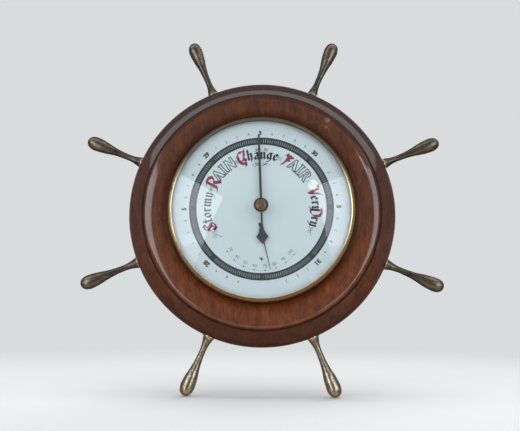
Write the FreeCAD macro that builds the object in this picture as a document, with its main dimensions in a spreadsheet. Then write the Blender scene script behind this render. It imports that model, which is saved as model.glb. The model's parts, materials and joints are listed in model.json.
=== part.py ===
import FreeCAD, Part
import math
import os
import Sketcher
from FreeCAD import Placement, Rotation, Vector

# Aneroid barometer in a ship's wheel surround, in millimetres.
# Frame: X to the right, Z up, the dial faces -Y. The origin is on the dial's axis, in the plane of
# the wooden back that lies on the wall. "Depth" below is the distance forward from that plane, -Y.

SIZES = {
    # wooden surround
    "rim_radius": 94.0,
    "bead_radius": 9.4,
    "bead_depth": 14.6,
    "bead_inner": 83.8,
    "bead_inner_depth": 23.9,
    "shoulder_centre": 78.2,
    "shoulder_radius": 4.8,
    "shoulder_depth": 22.9,
    "crown_middle": 72.5,
    "crown_depth": 27.9,
    "land_radius": 64.7,
    "land_depth": 25.2,
    "bore_radius": 60.2,
    "back_chamfer": 0.8,
    "cover_rebate_radius": 74.0,
    "cover_rebate_depth": 2.6,
    "clamp_rebate_radius": 69.8,
    "clamp_rebate_depth": 4.2,
    # spoke handles
    "handle_depth": 10.0,
    "handle_foot_radius": 4.3,
    "handle_neck_radius": 2.0,
    "handle_bulb_radius": 5.0,
    "handle_length": 44.0,
    "stud_radius": 2.2,
    "stud_length": 12.0,
    # hanger
    "hanger_height": 83.5,
    "hanger_width": 30.0,
    "hanger_tall": 14.0,
    "hanger_thickness": 1.5,
    "nail_head_radius": 4.0,
    "nail_shank_radius": 2.1,
    "nail_slot_rise": 4.2,
    "nail_pocket_depth": 6.5,
    "hanger_screw_spacing": 11.5,
    # back cover
    "cover_radius": 73.7,
    "cover_thickness": 2.5,
    "access_radius": 4.0,
    "cover_screw_circle": 71.9,
    # bezel, glass and its bush
    "bezel_radius": 64.2,
    "bezel_wall": 0.7,
    "bezel_lip_radius": 61.2,
    "bezel_depth": 34.7,
    "glass_radius": 62.9,
    "glass_apex_depth": 40.5,
    "glass_rise": 7.35,
    "glass_thickness": 2.0,
    "glass_hole_radius": 3.2,
    "bush_radius": 4.1,
    "spindle_radius": 1.5,
    "running_gap": 0.05,
    # dial and what holds it
    "dial_radius": 62.7,
    "dial_depth": 29.2,
    "dial_thickness": 0.8,
    "dial_hole_radius": 2.6,
    "thermometer_drop": 15.3,
    "gasket_inner": 61.6,
    "case_radius": 59.6,
    "case_wall": 0.8,
    "flange_radius": 63.2,
    "case_hole_radius": 5.0,
    # movement
    "base_radius": 42.0,
    "base_depth": 5.0,
    "base_thickness": 1.6,
    "base_screw_circle": 36.0,
    "adjuster_radius": 2.95,
    "capsule_foot_depth": 8.6,
    "capsule_radius": 18.0,
    "capsule_rim_radius": 19.4,
    "capsule_joint_depth": 12.2,
    "capsule_half_height": 3.0,
    "sheet_metal": 0.5,
    "spring_depth": 17.4,
    "spring_thickness": 0.8,
    "strap_height": 17.6,
    "strap_thickness": 2.0,
    "strap_pillar_spread": 23.0,
    "lever_thickness": 0.95,
    "rocker_height": 25.2,
    "rocker_depth": 16.0,
    "rocker_radius": 0.8,
    "crank_length": 3.0,
    "crank_half_width": 0.7,
    "pusher_gap": 0.25,
    "rocker_arm_length": 7.2,
    "movement_depth": 21.0,
    "plate_thickness": 1.2,
    "sector_depth": 24.2,
    "sector_tail": 7.0,
    "gear_module": 0.4,
    "pinion_teeth": 12,
    "sector_teeth": 120,
    "top_plate_depth": 26.8,
    "top_plate_thickness": 1.0,
    "arbor_radius": 0.9,
    "pivot_radius": 0.6,
    # hands and knob
    "pressure_hand_depth": 32.0,
    "pressure_hand_length": 46.5,
    "set_hand_depth": 33.4,
    "set_hand_length": 48.3,
    "hand_thickness": 0.4,
    "knob_radius": 4.9,
    "knob_depth": 41.4,
    "knob_front": 44.2,
    "thermometer_hand_depth": 30.6,
    "thermometer_hand_length": 27.5,
}

HANDLE_ANGLES = [22.5 + 45 * k for k in range(8)]   # clockwise from the top, seen from the front
COVER_SCREW_ANGLE = 45
COUNTERSINK_DEPTH = 1.0
CLAMP_SCREW_CIRCLE = 65
CLAMP_ANGLE = 30
HANDS_ANGLE = -2.5                                   # both pressure hands, left of the top
THERMOMETER_ANGLE = 166.4                            # thermometer hand, clockwise from the top
GEAR_BACKLASH = 0.08
PRESSURE_ANGLE = math.radians(20)

doc = FreeCAD.newDocument("aneroid_barometer")
sheet = doc.addObject("Spreadsheet::Sheet", "Sizes")
for row, (alias, number) in enumerate(SIZES.items(), start=1):
    sheet.set(f"A{row}", alias)
    sheet.set(f"B{row}", str(number))
    sheet.setAlias(f"B{row}", alias)
doc.recompute()


class Size:
    """A length as a number, for drawing, and as the sheet expression that drives it."""

    def __init__(self, number, text):
        self.number = float(number)
        self.text = text

    def __add__(self, other):
        other = as_size(other)
        return Size(self.number + other.number, f"({self.text} + {other.text})")

    def __sub__(self, other):
        other = as_size(other)
        return Size(self.number - other.number, f"({self.text} - {other.text})")

    def __mul__(self, factor):
        return Size(self.number * factor, f"({self.text} * {factor})")

    def __neg__(self):
        return self * -1

    def __radd__(self, other):
        return as_size(other) + self

    def __rsub__(self, other):
        return as_size(other) - self


def as_size(value):
    return value if isinstance(value, Size) else Size(value, repr(float(value)))


def size(alias):
    return Size(SIZES[alias], f"Sizes.{alias}")


class Bend(tuple):
    """A point that the edge between its two neighbours passes through, as an arc."""


class Dome(tuple):
    """Stands between two points of a turned profile that a ball centred on the axis joins."""


# ---------------------------------------------------------------- sketches and features

def new_body(label):
    body = doc.addObject("PartDesign::Body", label)
    body.Label = label
    body.AllowCompound = True
    return body


def origin_feature(body, role):
    return next(item for item in body.Origin.OriginFeatures if item.Role == role)


def new_sketch(body, role, offset=0.0, turn=0.0):
    """A sketch on an origin plane, moved by offset along its normal and turned about its Y."""
    sketch = body.newObject("Sketcher::SketchObject", body.Label + "_sketch")
    sketch.AttachmentSupport = [(origin_feature(body, role), "")]
    sketch.MapMode = "FlatFace"
    offset = as_size(offset)
    sketch.AttachmentOffset = Placement(Vector(0, 0, offset.number), Rotation(Vector(0, 1, 0), turn))
    sketch.setExpression(".AttachmentOffset.Base.z", offset.text)
    return sketch


def arc_through(start, middle, end):
    """The arc as sketches need it, anticlockwise, and whether it runs from end to start."""
    curve = Part.Arc(start, middle, end).toShape().Curve
    centre, radius = curve.Center, curve.Radius
    turn = (middle - start).cross(end - middle).z
    first, last = (start, end) if turn > 0 else (end, start)
    angles = [math.atan2(p.y - centre.y, p.x - centre.x) for p in (first, last)]
    if angles[1] < angles[0]:
        angles[1] += 2 * math.pi
    base = Part.Circle(centre, Vector(0, 0, 1), radius)
    return Part.ArcOfCircle(base, angles[0], angles[1]), turn < 0


def pin_point(sketch, geometry, position, point):
    """Ties one point of a sketch to its two sheet expressions."""
    for kind, value in (("DistanceX", point[0]), ("DistanceY", point[1])):
        value = as_size(value)
        index = sketch.addConstraint(
            Sketcher.Constraint(kind, -1, 1, geometry, position, value.number))
        sketch.setExpression(f"Constraints[{index}]", value.text)


def dome_middle(start, end):
    """Halfway along the arc from start to end whose centre is on the sketch's Y axis."""
    squares = end.x ** 2 + end.y ** 2 - start.x ** 2 - start.y ** 2
    centre = Vector(0, squares / (2 * (end.y - start.y)), 0)
    towards = (start + end) * 0.5 - centre
    return centre + towards.normalize() * (start - centre).Length


def draw_outline(sketch, outline):
    """Draws a closed outline of straight edges, with an arc wherever a Bend or Dome stands."""
    corners = [k for k, item in enumerate(outline) if not isinstance(item, (Bend, Dome))]
    flat = {k: Vector(*(as_size(v).number for v in outline[k]), 0) for k in corners}
    ends = []
    for place, start in enumerate(corners):
        end = corners[(place + 1) % len(corners)]
        between = outline[start + 1:] if end < start else outline[start + 1:end]
        if not between:
            edge = sketch.addGeometry(Part.LineSegment(flat[start], flat[end]), False)
            ends.append((edge, 1, 2))
            continue
        bend = between[0]
        if isinstance(bend, Dome):
            middle = dome_middle(flat[start], flat[end])
        else:
            middle = Vector(*(as_size(v).number for v in bend), 0)
        arc, backwards = arc_through(flat[start], middle, flat[end])
        edge = sketch.addGeometry(arc, False)
        ends.append((edge, 2, 1) if backwards else (edge, 1, 2))
        if isinstance(bend, Dome):
            sketch.addConstraint(Sketcher.Constraint("PointOnObject", edge, 3, -2))
        else:
            guide = sketch.addGeometry(Part.Point(middle), True)
            pin_point(sketch, guide, 1, bend)
            sketch.addConstraint(Sketcher.Constraint("PointOnObject", guide, 1, edge))
    for place, start in enumerate(corners):
        edge, first, _ = ends[place]
        before, _, last = ends[place - 1]
        sketch.addConstraint(Sketcher.Constraint("Coincident", before, last, edge, first))
        pin_point(sketch, edge, first, outline[start])


def draw_circle(sketch, across, up, radius):
    across, up, radius = as_size(across), as_size(up), as_size(radius)
    centre = Vector(across.number, up.number, 0)
    edge = sketch.addGeometry(Part.Circle(centre, Vector(0, 0, 1), radius.number), False)
    index = sketch.addConstraint(Sketcher.Constraint("Radius", edge, radius.number))
    sketch.setExpression(f"Constraints[{index}]", radius.text)
    pin_point(sketch, edge, 3, (across, up))


def deep(radius, depth):
    """A point of a turned profile: radius from the dial's axis, depth forward from the wall."""
    return (radius, -as_size(depth))


def turn_outline(body, outline, axis="V_Axis"):
    sketch = new_sketch(body, "XY_Plane")
    draw_outline(sketch, outline)
    turned = body.newObject("PartDesign::Revolution", body.Label + "_turned")
    turned.Profile = sketch
    turned.ReferenceAxis = (sketch, [axis])
    turned.Angle = 360
    doc.recompute()
    return body


def turned(label, *outline):
    """A body turned about the dial's axis from (radius, depth) points."""
    points = []
    for item in outline:
        if isinstance(item, Dome):
            points.append(item)
        else:
            points.append(type(item)(deep(*item)))
    return turn_outline(new_body(label), points)


def pad(body, depth, thickness, *outlines):
    """Adds a plate parallel to the dial: its back face at depth, made of outlines and circles."""
    sketch = new_sketch(body, "XZ_Plane", depth)
    for outline in outlines:
        if callable(outline):
            outline(sketch)
        else:
            draw_outline(sketch, outline)
    feature = body.newObject("PartDesign::Pad", body.Label + "_pad")
    feature.Profile = sketch
    thickness = as_size(thickness)
    feature.Length = thickness.number
    feature.setExpression("Length", thickness.text)
    doc.recompute()
    return body


def disc(across, up, radius):
    """A circle for pad and cut: an outer edge, or a hole inside one."""
    return lambda sketch: draw_circle(sketch, across, up, radius)


def cut(body, depth, length, *outlines):
    """Removes a pocket that starts at depth and runs forward for length."""
    before = body.Shape.Volume
    sketch = new_sketch(body, "XZ_Plane", depth)
    for outline in outlines:
        if callable(outline):
            outline(sketch)
        else:
            draw_outline(sketch, outline)
    feature = body.newObject("PartDesign::Pocket", body.Label + "_pocket")
    feature.Profile = sketch
    length = as_size(length)
    feature.Length = length.number
    feature.setExpression("Length", length.text)
    feature.Reversed = True
    doc.recompute()
    if not body.Shape.Volume < before:
        raise RuntimeError(f"a pocket in {body.Label} removes nothing")
    return feature


def repeat_round(body, feature, count):
    pattern = body.newObject("PartDesign::PolarPattern", body.Label + "_pattern")
    pattern.Originals = [feature]
    pattern.Axis = (origin_feature(body, "Y_Axis"), [""])
    pattern.Angle = 360
    pattern.Occurrences = count
    body.Tip = pattern
    doc.recompute()
    return pattern


def group(label, pieces):
    """One sub-part made of several equal, separate solids."""
    compound = doc.addObject("Part::Compound", label)
    compound.Label = label
    compound.Links = pieces
    return compound


def rectangle(left, bottom, right, top):
    return [(left, bottom), (right, bottom), (right, top), (left, top)]


def place(body, across=0.0, up=0.0, rotation=Rotation()):
    body.Placement = Placement(Vector(across, 0, up), rotation)
    return body


def on_circle(radius, angle):
    """Across and up of a point at an angle clockwise from the top."""
    return radius * math.sin(math.radians(angle)), radius * math.cos(math.radians(angle))


def screw(label, seat_depth, length, radius, head_radius, head_height, across, up, to_wall=False):
    """A slotted cheese-head screw whose head rests at seat_depth."""
    body = new_body(label)
    way = -1 if to_wall else 1
    seat = as_size(seat_depth)
    head = seat + head_height * way
    tip = seat - length * way
    turn_outline(body, [
        (0, -tip), (radius, -tip), (radius, -seat), (head_radius, -seat),
        (head_radius, -(head - 0.25 * way)), (head_radius - 0.25, -head), (0, -head)])
    slot_depth = 0.45 * head_height
    start = head - slot_depth if not to_wall else head
    cut(body, start, slot_depth,
        rectangle(-0.16 * head_radius, -head_radius, 0.16 * head_radius, head_radius))
    return place(body, across, up)


# ---------------------------------------------------------------- surround

def make_wooden_surround():
    shoulder_centre, shoulder_depth = size("shoulder_centre"), size("shoulder_depth")
    shoulder = size("shoulder_radius")
    top, slant = math.radians(80), math.radians(40)
    bead_centre = size("rim_radius") - size("bead_radius")
    diagonal = math.sqrt(0.5)
    body = turned(
        "wooden_surround",
        (size("bore_radius"), size("clamp_rebate_depth")),
        (size("bore_radius"), size("land_depth")),
        (size("land_radius"), size("land_depth")),
        (size("land_radius") + 0.5, size("land_depth") + 0.9),
        Bend((size("crown_middle"), size("crown_depth"))),
        (shoulder_centre + shoulder * math.cos(top), shoulder_depth + shoulder * math.sin(top)),
        Bend((shoulder_centre + shoulder * math.cos(slant),
              shoulder_depth + shoulder * math.sin(slant))),
        (shoulder_centre + shoulder, shoulder_depth),
        (size("bead_inner"), size("bead_inner_depth")),
        Bend((bead_centre + size("bead_radius") * diagonal,
              size("bead_depth") + size("bead_radius") * diagonal)),
        (size("rim_radius"), size("bead_depth")),
        (size("rim_radius"), size("back_chamfer")),
        (size("rim_radius") - size("back_chamfer"), 0),
        (size("cover_rebate_radius"), 0),
        (size("cover_rebate_radius"), size("cover_rebate_depth")),
        (size("clamp_rebate_radius"), size("cover_rebate_depth")),
        (size("clamp_rebate_radius"), size("clamp_rebate_depth")))
    cut_stud_holes(body)
    hanger = size("hanger_height")
    half_width, half_tall = size("hanger_width") * 0.5, size("hanger_tall") * 0.5
    cut(body, 0, size("hanger_thickness"),
        rectangle(-half_width, hanger - half_tall, half_width, hanger + half_tall))
    cut(body, 0, size("nail_pocket_depth"),
        rectangle(-size("nail_head_radius") - 1, hanger - 5.2, size("nail_head_radius") + 1,
                  hanger + 5.6))
    cut(body, 0, 9.2, *[disc(size("hanger_screw_spacing") * side, hanger, 1.0)
                        for side in (-1, 1)])
    across, up = on_circle(SIZES["cover_screw_circle"], COVER_SCREW_ANGLE)
    repeat_round(body, cut(body, size("cover_rebate_depth"), 6.5, disc(across, up, 1.0)), 4)
    across, up = on_circle(CLAMP_SCREW_CIRCLE, CLAMP_ANGLE)
    repeat_round(body, cut(body, size("clamp_rebate_depth"), 9.0, disc(across, up, 1.3)), 3)
    return body


def cut_stud_holes(body):
    """Eight holes from the rim inwards for the studs of the handles."""
    before = body.Shape.Volume
    sketch = new_sketch(body, "XY_Plane", 0, HANDLE_ANGLES[0] - 90)
    sketch.setExpression(".AttachmentOffset.Base.y", (-size("handle_depth")).text)
    inner = size("rim_radius") - size("stud_length") - 0.5
    outer = size("rim_radius") + 1
    draw_outline(sketch, rectangle(inner, 0, outer, size("stud_radius") + size("running_gap")))
    groove = body.newObject("PartDesign::Groove", "stud_hole")
    groove.Profile = sketch
    groove.ReferenceAxis = (sketch, ["H_Axis"])
    groove.Angle = 360
    doc.recompute()
    repeat_round(body, groove, len(HANDLE_ANGLES))
    if not body.Shape.Volume < before:
        raise RuntimeError("the stud holes remove nothing")


def make_handle(number, angle):
    """A cast spoke handle: stud, foot collar, flared root, slim neck and long bulb."""
    body = new_body(f"spoke_handle_{number}")
    rim, length = size("rim_radius"), size("handle_length")
    foot, neck, bulb = (size(f"handle_{part}_radius") for part in ("foot", "neck", "bulb"))
    stud = size("stud_radius")
    tip_ball, tip_edge = bulb * 0.92, math.radians(18)
    tip_centre = rim + length - tip_ball
    turn_outline(body, [
        (0, rim - size("stud_length")), (stud - 0.5, rim - size("stud_length")),
        (stud, rim - size("stud_length") + 0.5), (stud, rim),
        (foot - 0.2, rim), Bend((foot, rim + 0.7)), (foot - 0.35, rim + 1.4),
        Bend((foot * 0.62, rim + 4.6)), (neck, rim + 12.5),
        Bend((neck + 0.35, rim + 18.5)), (neck + 1.25, rim + 25.0),
        Bend((bulb - 0.55, rim + 31.0)), (bulb, rim + length - 7.5),
        Bend((bulb - 0.13, rim + length - 5.0)),
        (tip_ball * math.cos(tip_edge), tip_centre + tip_ball * math.sin(tip_edge)),
        Dome(), (0, rim + length)])
    turn = Rotation(Vector(0, 1, 0), angle) * Rotation(Vector(1, 0, 0), 90)
    body.Placement = Placement(Vector(0, -SIZES["handle_depth"], 0), turn)
    body.setExpression(".Placement.Base.y", (-size("handle_depth")).text)
    return body


# ---------------------------------------------------------------- back of the surround

def make_back_cover():
    body = turned(
        "back_cover",
        (size("access_radius"), 0), (size("cover_radius"), 0),
        (size("cover_radius"), size("cover_thickness")),
        (size("access_radius"), size("cover_thickness")))
    across, up = on_circle(SIZES["cover_screw_circle"], COVER_SCREW_ANGLE)
    repeat_round(body, cut(body, 0, COUNTERSINK_DEPTH, disc(across, up, 1.95)), 4)
    repeat_round(body, cut(body, 0, size("cover_thickness"), disc(across, up, 1.1)), 4)
    return body


def wood_screw(label, seat_depth, length, across, up):
    """A countersunk wood screw driven forward from the back, head flush with seat_depth."""
    body = new_body(label)
    seat = as_size(seat_depth)
    turn_outline(body, [
        (0, -seat), (1.85, -seat), (1.0, -(seat + 0.85)), (1.0, -(seat + length - 2)),
        (0, -(seat + length))])
    cut(body, seat, 0.45, rectangle(-0.3, -2, 0.3, 2))
    return place(body, across, up)


def make_cover_screws():
    return group("back_cover_screws", [
        wood_screw(f"cover_screw_{k + 1}", 0.05, 8.9,
                   *on_circle(SIZES["cover_screw_circle"], COVER_SCREW_ANGLE + 90 * k))
        for k in range(4)])


def make_hanger_plate():
    hanger = size("hanger_height")
    half_width, half_tall = size("hanger_width") * 0.5 - 0.1, size("hanger_tall") * 0.5 - 0.1
    head, shank = size("nail_head_radius"), size("nail_shank_radius")
    throat = math.sqrt(SIZES["nail_head_radius"] ** 2 - SIZES["nail_shank_radius"] ** 2)
    low = hanger - 1.0
    rise = low + size("nail_slot_rise")
    keyhole = [
        (shank, low + throat), (shank, rise), Bend((0, rise + shank)), (-shank, rise),
        (-shank, low + throat), Bend((0, low - head))]
    spacing = size("hanger_screw_spacing")
    body = new_body("hanger_plate")
    pad(body, 0, size("hanger_thickness"),
        rectangle(-half_width, hanger - half_tall, half_width, hanger + half_tall),
        keyhole, disc(spacing, hanger, 1.1), disc(-spacing, hanger, 1.1))
    cut(body, 0, COUNTERSINK_DEPTH, disc(spacing, hanger, 1.95), disc(-spacing, hanger, 1.95))
    return body


def make_hanger_screws():
    spacing, hanger = SIZES["hanger_screw_spacing"], SIZES["hanger_height"]
    return group("hanger_screws", [
        wood_screw(f"hanger_screw_{k + 1}", 0.05, 9.0, side * spacing, hanger)
        for k, side in enumerate((-1, 1))])


def make_case_clamps():
    """Three steel tabs that stop the case from coming forward."""
    pieces = []
    for k in range(3):
        body = new_body(f"case_clamp_{k + 1}")
        pad(body, size("clamp_rebate_depth") - 1.2, 1.2,
            rectangle(-5, 55, 5, size("clamp_rebate_radius") - 0.8),
            disc(0, CLAMP_SCREW_CIRCLE, 1.4))
        pieces.append(place(body, 0, 0, Rotation(Vector(0, 1, 0), CLAMP_ANGLE + 120 * k)))
    return group("case_clamps", pieces)


def make_clamp_screws():
    pieces = []
    for k in range(3):
        across, up = on_circle(CLAMP_SCREW_CIRCLE, CLAMP_ANGLE + 120 * k)
        pieces.append(screw(f"clamp_screw_{k + 1}", size("clamp_rebate_depth") - 1.2, 10.0, 1.3,
                            2.4, 0.35, across, up, to_wall=True))
    return group("clamp_screws", pieces)


# ---------------------------------------------------------------- bezel, glass, dial and case

def make_bezel():
    outer, lip, front = size("bezel_radius"), size("bezel_lip_radius"), size("bezel_depth")
    inner = outer - size("bezel_wall")
    return turned(
        "bezel",
        (inner, size("land_depth")), (outer, size("land_depth")),
        (outer, size("land_depth") + 4.2),
        Bend((outer - 0.45, front - 1.5)), (outer - 1.6, front),
        Bend((lip + 0.7, front - 0.05)), (lip, front - 0.45),
        (lip, front - 0.95), (inner, front - 1.3))


def make_glass():
    hole, outer = size("glass_hole_radius"), size("glass_radius")
    front, rise = size("glass_apex_depth"), size("glass_rise")
    back = front - size("glass_thickness")
    return turned(
        "glass",
        (hole, back), Dome(), (outer, back - rise), (outer, front - rise), Dome(), (hole, front))


def make_glass_bush():
    """A flanged brass bush, spun over on both sides of the glass."""
    bore = size("spindle_radius") + size("running_gap")
    shaft, flange = size("glass_hole_radius"), size("bush_radius")
    front, back = size("glass_apex_depth"), size("glass_apex_depth") - size("glass_thickness")
    return turned(
        "glass_bush",
        (bore, back - 0.9), (flange, back - 0.9), (flange, back - 0.1), (shaft, back - 0.1),
        (shaft, front + 0.02), (flange, front + 0.02), (flange - 0.3, front + 0.6),
        (bore, front + 0.6))


def make_gasket():
    front = size("dial_depth") + size("dial_thickness")
    return turned(
        "glass_gasket",
        (size("gasket_inner"), front), (size("glass_radius"), front),
        (size("glass_radius"), front + 1.1), (size("gasket_inner"), front + 1.1))


def make_spacer():
    back = size("land_depth") + size("case_wall")
    return turned(
        "dial_spacer_ring",
        (size("gasket_inner"), back), (size("flange_radius"), back),
        (size("flange_radius"), size("dial_depth")), (size("gasket_inner"), size("dial_depth")))


def make_dial():
    body = new_body("dial")
    return pad(body, size("dial_depth"), size("dial_thickness"),
               disc(0, 0, size("dial_radius")), disc(0, 0, size("dial_hole_radius")),
               disc(0, -size("thermometer_drop"), 0.8))


def make_case():
    """A pressed pan with a flange that sits on the wood under the bezel."""
    outer, wall = size("case_radius"), size("case_wall")
    back, land = size("clamp_rebate_depth"), size("land_depth")
    body = turned(
        "instrument_case",
        (size("case_hole_radius"), back), (outer, back), (outer, land),
        (size("flange_radius"), land), (size("flange_radius"), land + wall),
        (outer - wall, land + wall), (outer - wall, back + wall),
        (size("case_hole_radius"), back + wall))
    hole = cut(body, back, wall, disc(0, size("base_screw_circle"), 1.6))
    repeat_round(body, hole, 3)
    return body


# ---------------------------------------------------------------- movement: base and capsule

def make_base_plate():
    body = new_body("base_plate")
    pad(body, size("base_depth"), size("base_thickness"), disc(0, 0, size("base_radius")),
        disc(0, 0, size("adjuster_radius") + size("running_gap")))
    hole = cut(body, size("base_depth"), size("base_thickness"),
               disc(0, size("base_screw_circle"), 1.5))
    repeat_round(body, hole, 3)
    return body


def make_base_screws():
    pieces = []
    for k in range(3):
        across, up = on_circle(SIZES["base_screw_circle"], 120 * k)
        pieces.append(screw(f"base_screw_{k + 1}", size("clamp_rebate_depth"), 3.6, 1.5, 2.6, 1.2,
                            across, up, to_wall=True))
    return group("base_screws", pieces)


def make_adjusting_screw():
    """The set screw that moves the whole capsule; it is turned from behind."""
    radius = size("adjuster_radius")
    back, front = size("base_depth") - 1.4, size("capsule_foot_depth") - 0.02
    body = turned("adjusting_screw", (0, back), (radius - 0.3, back), (radius, back + 0.3),
                  (radius, front), (0, front))
    cut(body, back, 1.1, rectangle(-0.4, -3.2, 0.4, 3.2))
    return body


def corrugated(label, inner, level, way):
    """Half a capsule: a thin rippled disc and the rim that meets the other half."""
    outer, rim, joint = (size("capsule_" + part) for part in ("radius", "rim_radius",
                                                              "joint_depth"))
    metal = size("sheet_metal")
    ripples, swing = 8, 0.35
    step = (outer - inner) * (1 / ripples)
    near, far = [], []
    for k in range(ripples):
        start, side = inner + step * k, swing * (-1) ** k
        near += [(start, level), Bend((start + step * 0.5, level + side))]
        far += [(start, level + metal * way), Bend((start + step * 0.5,
                                                    level + metal * way + side))]
    near += [(outer, level), (outer, joint - metal * way), (rim, joint - metal * way),
             (rim, joint)]
    far += [(outer - metal, level + metal * way), (outer - metal, joint)]
    return turned(label, *near, *reversed(far))


def make_capsule_body():
    """The fixed half, with the boss that stands on the adjusting screw."""
    foot = size("capsule_foot_depth")
    body = corrugated("capsule_body", as_size(3.0), foot + 0.6, 1)
    boss = new_sketch(body, "XY_Plane")
    draw_outline(boss, [deep(0, foot), deep(3.5, foot), deep(3.5, foot + 0.9), deep(0, foot + 0.9)])
    turned_boss = body.newObject("PartDesign::Revolution", "capsule_boss")
    turned_boss.Profile = boss
    turned_boss.ReferenceAxis = (boss, ["V_Axis"])
    turned_boss.Angle = 360
    doc.recompute()
    return body


def make_capsule_diaphragm():
    level = size("capsule_joint_depth") + size("capsule_half_height")
    return corrugated("capsule_diaphragm", as_size(3.05), level, -1)


def make_capsule_post():
    """Soldered to the moving diaphragm; its head is what the lever pulls on."""
    level = size("capsule_joint_depth") + size("capsule_half_height")
    lever_front = size("spring_depth") + size("spring_thickness") + 0.05 + size("lever_thickness")
    return turned(
        "capsule_post",
        (0, level - 0.6), (3.0, level - 0.6), (3.0, level + 1.0), (1.5, level + 1.0),
        (1.5, lever_front + 0.15), (2.8, lever_front + 0.15), (2.8, lever_front + 0.9),
        (0, lever_front + 0.9))


# ---------------------------------------------------------------- movement: spring and levers

def make_main_spring():
    """A leaf clamped under the strap, whose free end carries the main lever."""
    body = new_body("main_spring")
    strap, half = size("strap_height"), as_size(3.0)
    return pad(body, size("spring_depth"), size("spring_thickness"),
               [(-4, 3), (-5, -10), (-5, -strap - half), (5, -strap - half), (5, -10), (4, 3)],
               disc(0, 0, 2.0), disc(-3, -strap, 0.85), disc(3, -strap, 0.85))


def strap_depth():
    return size("spring_depth") + size("spring_thickness")


def make_bridge():
    """The strap over the capsule that anchors the leaf spring."""
    strap, spread = size("strap_height"), size("strap_pillar_spread")
    body = new_body("bridge_strap")
    return pad(body, strap_depth(), size("strap_thickness"),
               rectangle(-spread - 3, -strap - 3, spread + 3, -strap + 3),
               disc(-spread, -strap, 1.25), disc(spread, -strap, 1.25),
               disc(-3, -strap, 0.85), disc(3, -strap, 0.85))


def pillar(label, from_depth, to_depth, radius, across, up):
    body = turned(label, (0, from_depth), (radius, from_depth), (radius, to_depth), (0, to_depth))
    return place(body, across, up)


def base_front():
    return size("base_depth") + size("base_thickness")


def make_bridge_pillars():
    spread, strap = SIZES["strap_pillar_spread"], SIZES["strap_height"]
    return group("bridge_pillars", [
        pillar(f"bridge_pillar_{k + 1}", base_front(), strap_depth(), 2.6, side * spread, -strap)
        for k, side in enumerate((-1, 1))])


def make_bridge_screws():
    spread, strap = SIZES["strap_pillar_spread"], SIZES["strap_height"]
    seat = strap_depth() + size("strap_thickness")
    return group("bridge_screws", [
        screw(f"bridge_screw_{k + 1}", seat, size("strap_thickness"), 1.2, 2.2, 1.2,
              side * spread, -strap)
        for k, side in enumerate((-1, 1))])


def make_spring_screws():
    strap = SIZES["strap_height"]
    seat = strap_depth() + size("strap_thickness")
    length = size("strap_thickness") + size("spring_thickness") + 0.6
    return group("spring_screws", [
        screw(f"spring_screw_{k + 1}", seat, length, 0.8, 1.4, 0.9, side * 3.0, -strap)
        for k, side in enumerate((-1, 1))])


def lever_depth():
    return strap_depth() + 0.05


def lever_end():
    return size("rocker_height") + size("crank_length")


def make_main_lever():
    """A tapered bar from the spring's free end, over the capsule post, to the crank."""
    body = new_body("main_lever")
    return pad(body, lever_depth(), size("lever_thickness"),
               [(-3.6, -3.4), (3.6, -3.4), (3.6, 3.4), (1.6, 12), (1.6, lever_end()),
                Bend((0, lever_end() + 1.6)), (-1.6, lever_end()), (-1.6, 12), (-3.6, 3.4)],
               disc(0, 0, 2.0), disc(0, lever_end(), 0.75))


def make_pusher_screw():
    """The small screw in the lever's end whose thin tip presses on the crank."""
    tip = size("rocker_depth") + size("crank_half_width") + size("pusher_gap")
    seat = lever_depth() + size("lever_thickness")
    body = turned("pusher_screw", (0, tip), (0.4, tip), (0.4, tip + 0.6), (0.7, tip + 0.6),
                  (0.7, seat), (1.2, seat), (1.2, seat + 0.6), (0, seat + 0.6))
    cut(body, seat + 0.35, 0.25, rectangle(-0.2, -1.2, 0.2, 1.2))
    body.Placement.Base = Vector(0, 0, lever_end().number)
    body.setExpression(".Placement.Base.z", lever_end().text)
    return body


def make_rocking_shaft():
    """A steel shaft along X with a short crank upwards and a long arm towards the dial."""
    height, depth, radius = (size("rocker_" + part) for part in ("height", "depth", "radius"))
    body = new_body("rocking_shaft")
    sketch = new_sketch(body, "YZ_Plane", -5.8)
    draw_circle(sketch, -depth, height, radius)
    shaft = body.newObject("PartDesign::Pad", "rocking_shaft_bar")
    shaft.Profile = sketch
    shaft.Length = 18.4
    doc.recompute()
    arm_end = depth + size("rocker_arm_length")
    crank_end = height + size("crank_length")
    add_arm(body, 6.4, 1.2, [(-depth, height - 0.5), (-depth, height + 0.5),
                             (-arm_end, height + 0.5), (-arm_end, height - 0.5)])
    half = size("crank_half_width")
    add_arm(body, -0.6, 1.2, [(-depth - half, height), (-depth - half, crank_end),
                              Bend((-depth, crank_end + half)), (-depth + half, crank_end),
                              (-depth + half, height)])
    return body


def add_arm(body, across, width, outline):
    """A plate square to the shaft, drawn in (Y, Z) and padded along X."""
    sketch = new_sketch(body, "YZ_Plane", across)
    draw_outline(sketch, outline)
    arm = body.newObject("PartDesign::Pad", body.Label + "_arm")
    arm.Profile = sketch
    arm.Length = width
    doc.recompute()


def make_shaft_bearings():
    """Two lugs under the movement plate, bored for the rocking shaft."""
    height, depth = size("rocker_height"), size("rocker_depth")
    plate = size("movement_depth")
    pieces = []
    for k, across in enumerate((-5.8, 11.0)):
        body = new_body(f"shaft_bearing_{k + 1}")
        sketch = new_sketch(body, "YZ_Plane", across)
        draw_outline(sketch, [(-plate, height - 1.8), (-plate, height + 1.8),
                              (-depth, height + 1.8), Bend((-depth + 1.8, height)),
                              (-depth, height - 1.8)])
        draw_circle(sketch, -depth, height, size("rocker_radius") + size("running_gap"))
        lug = body.newObject("PartDesign::Pad", body.Label + "_pad")
        lug.Profile = sketch
        lug.Length = 1.6
        doc.recompute()
        pieces.append(body)
    return group("shaft_bearings", pieces)


# ---------------------------------------------------------------- movement: plates and gears

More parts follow.
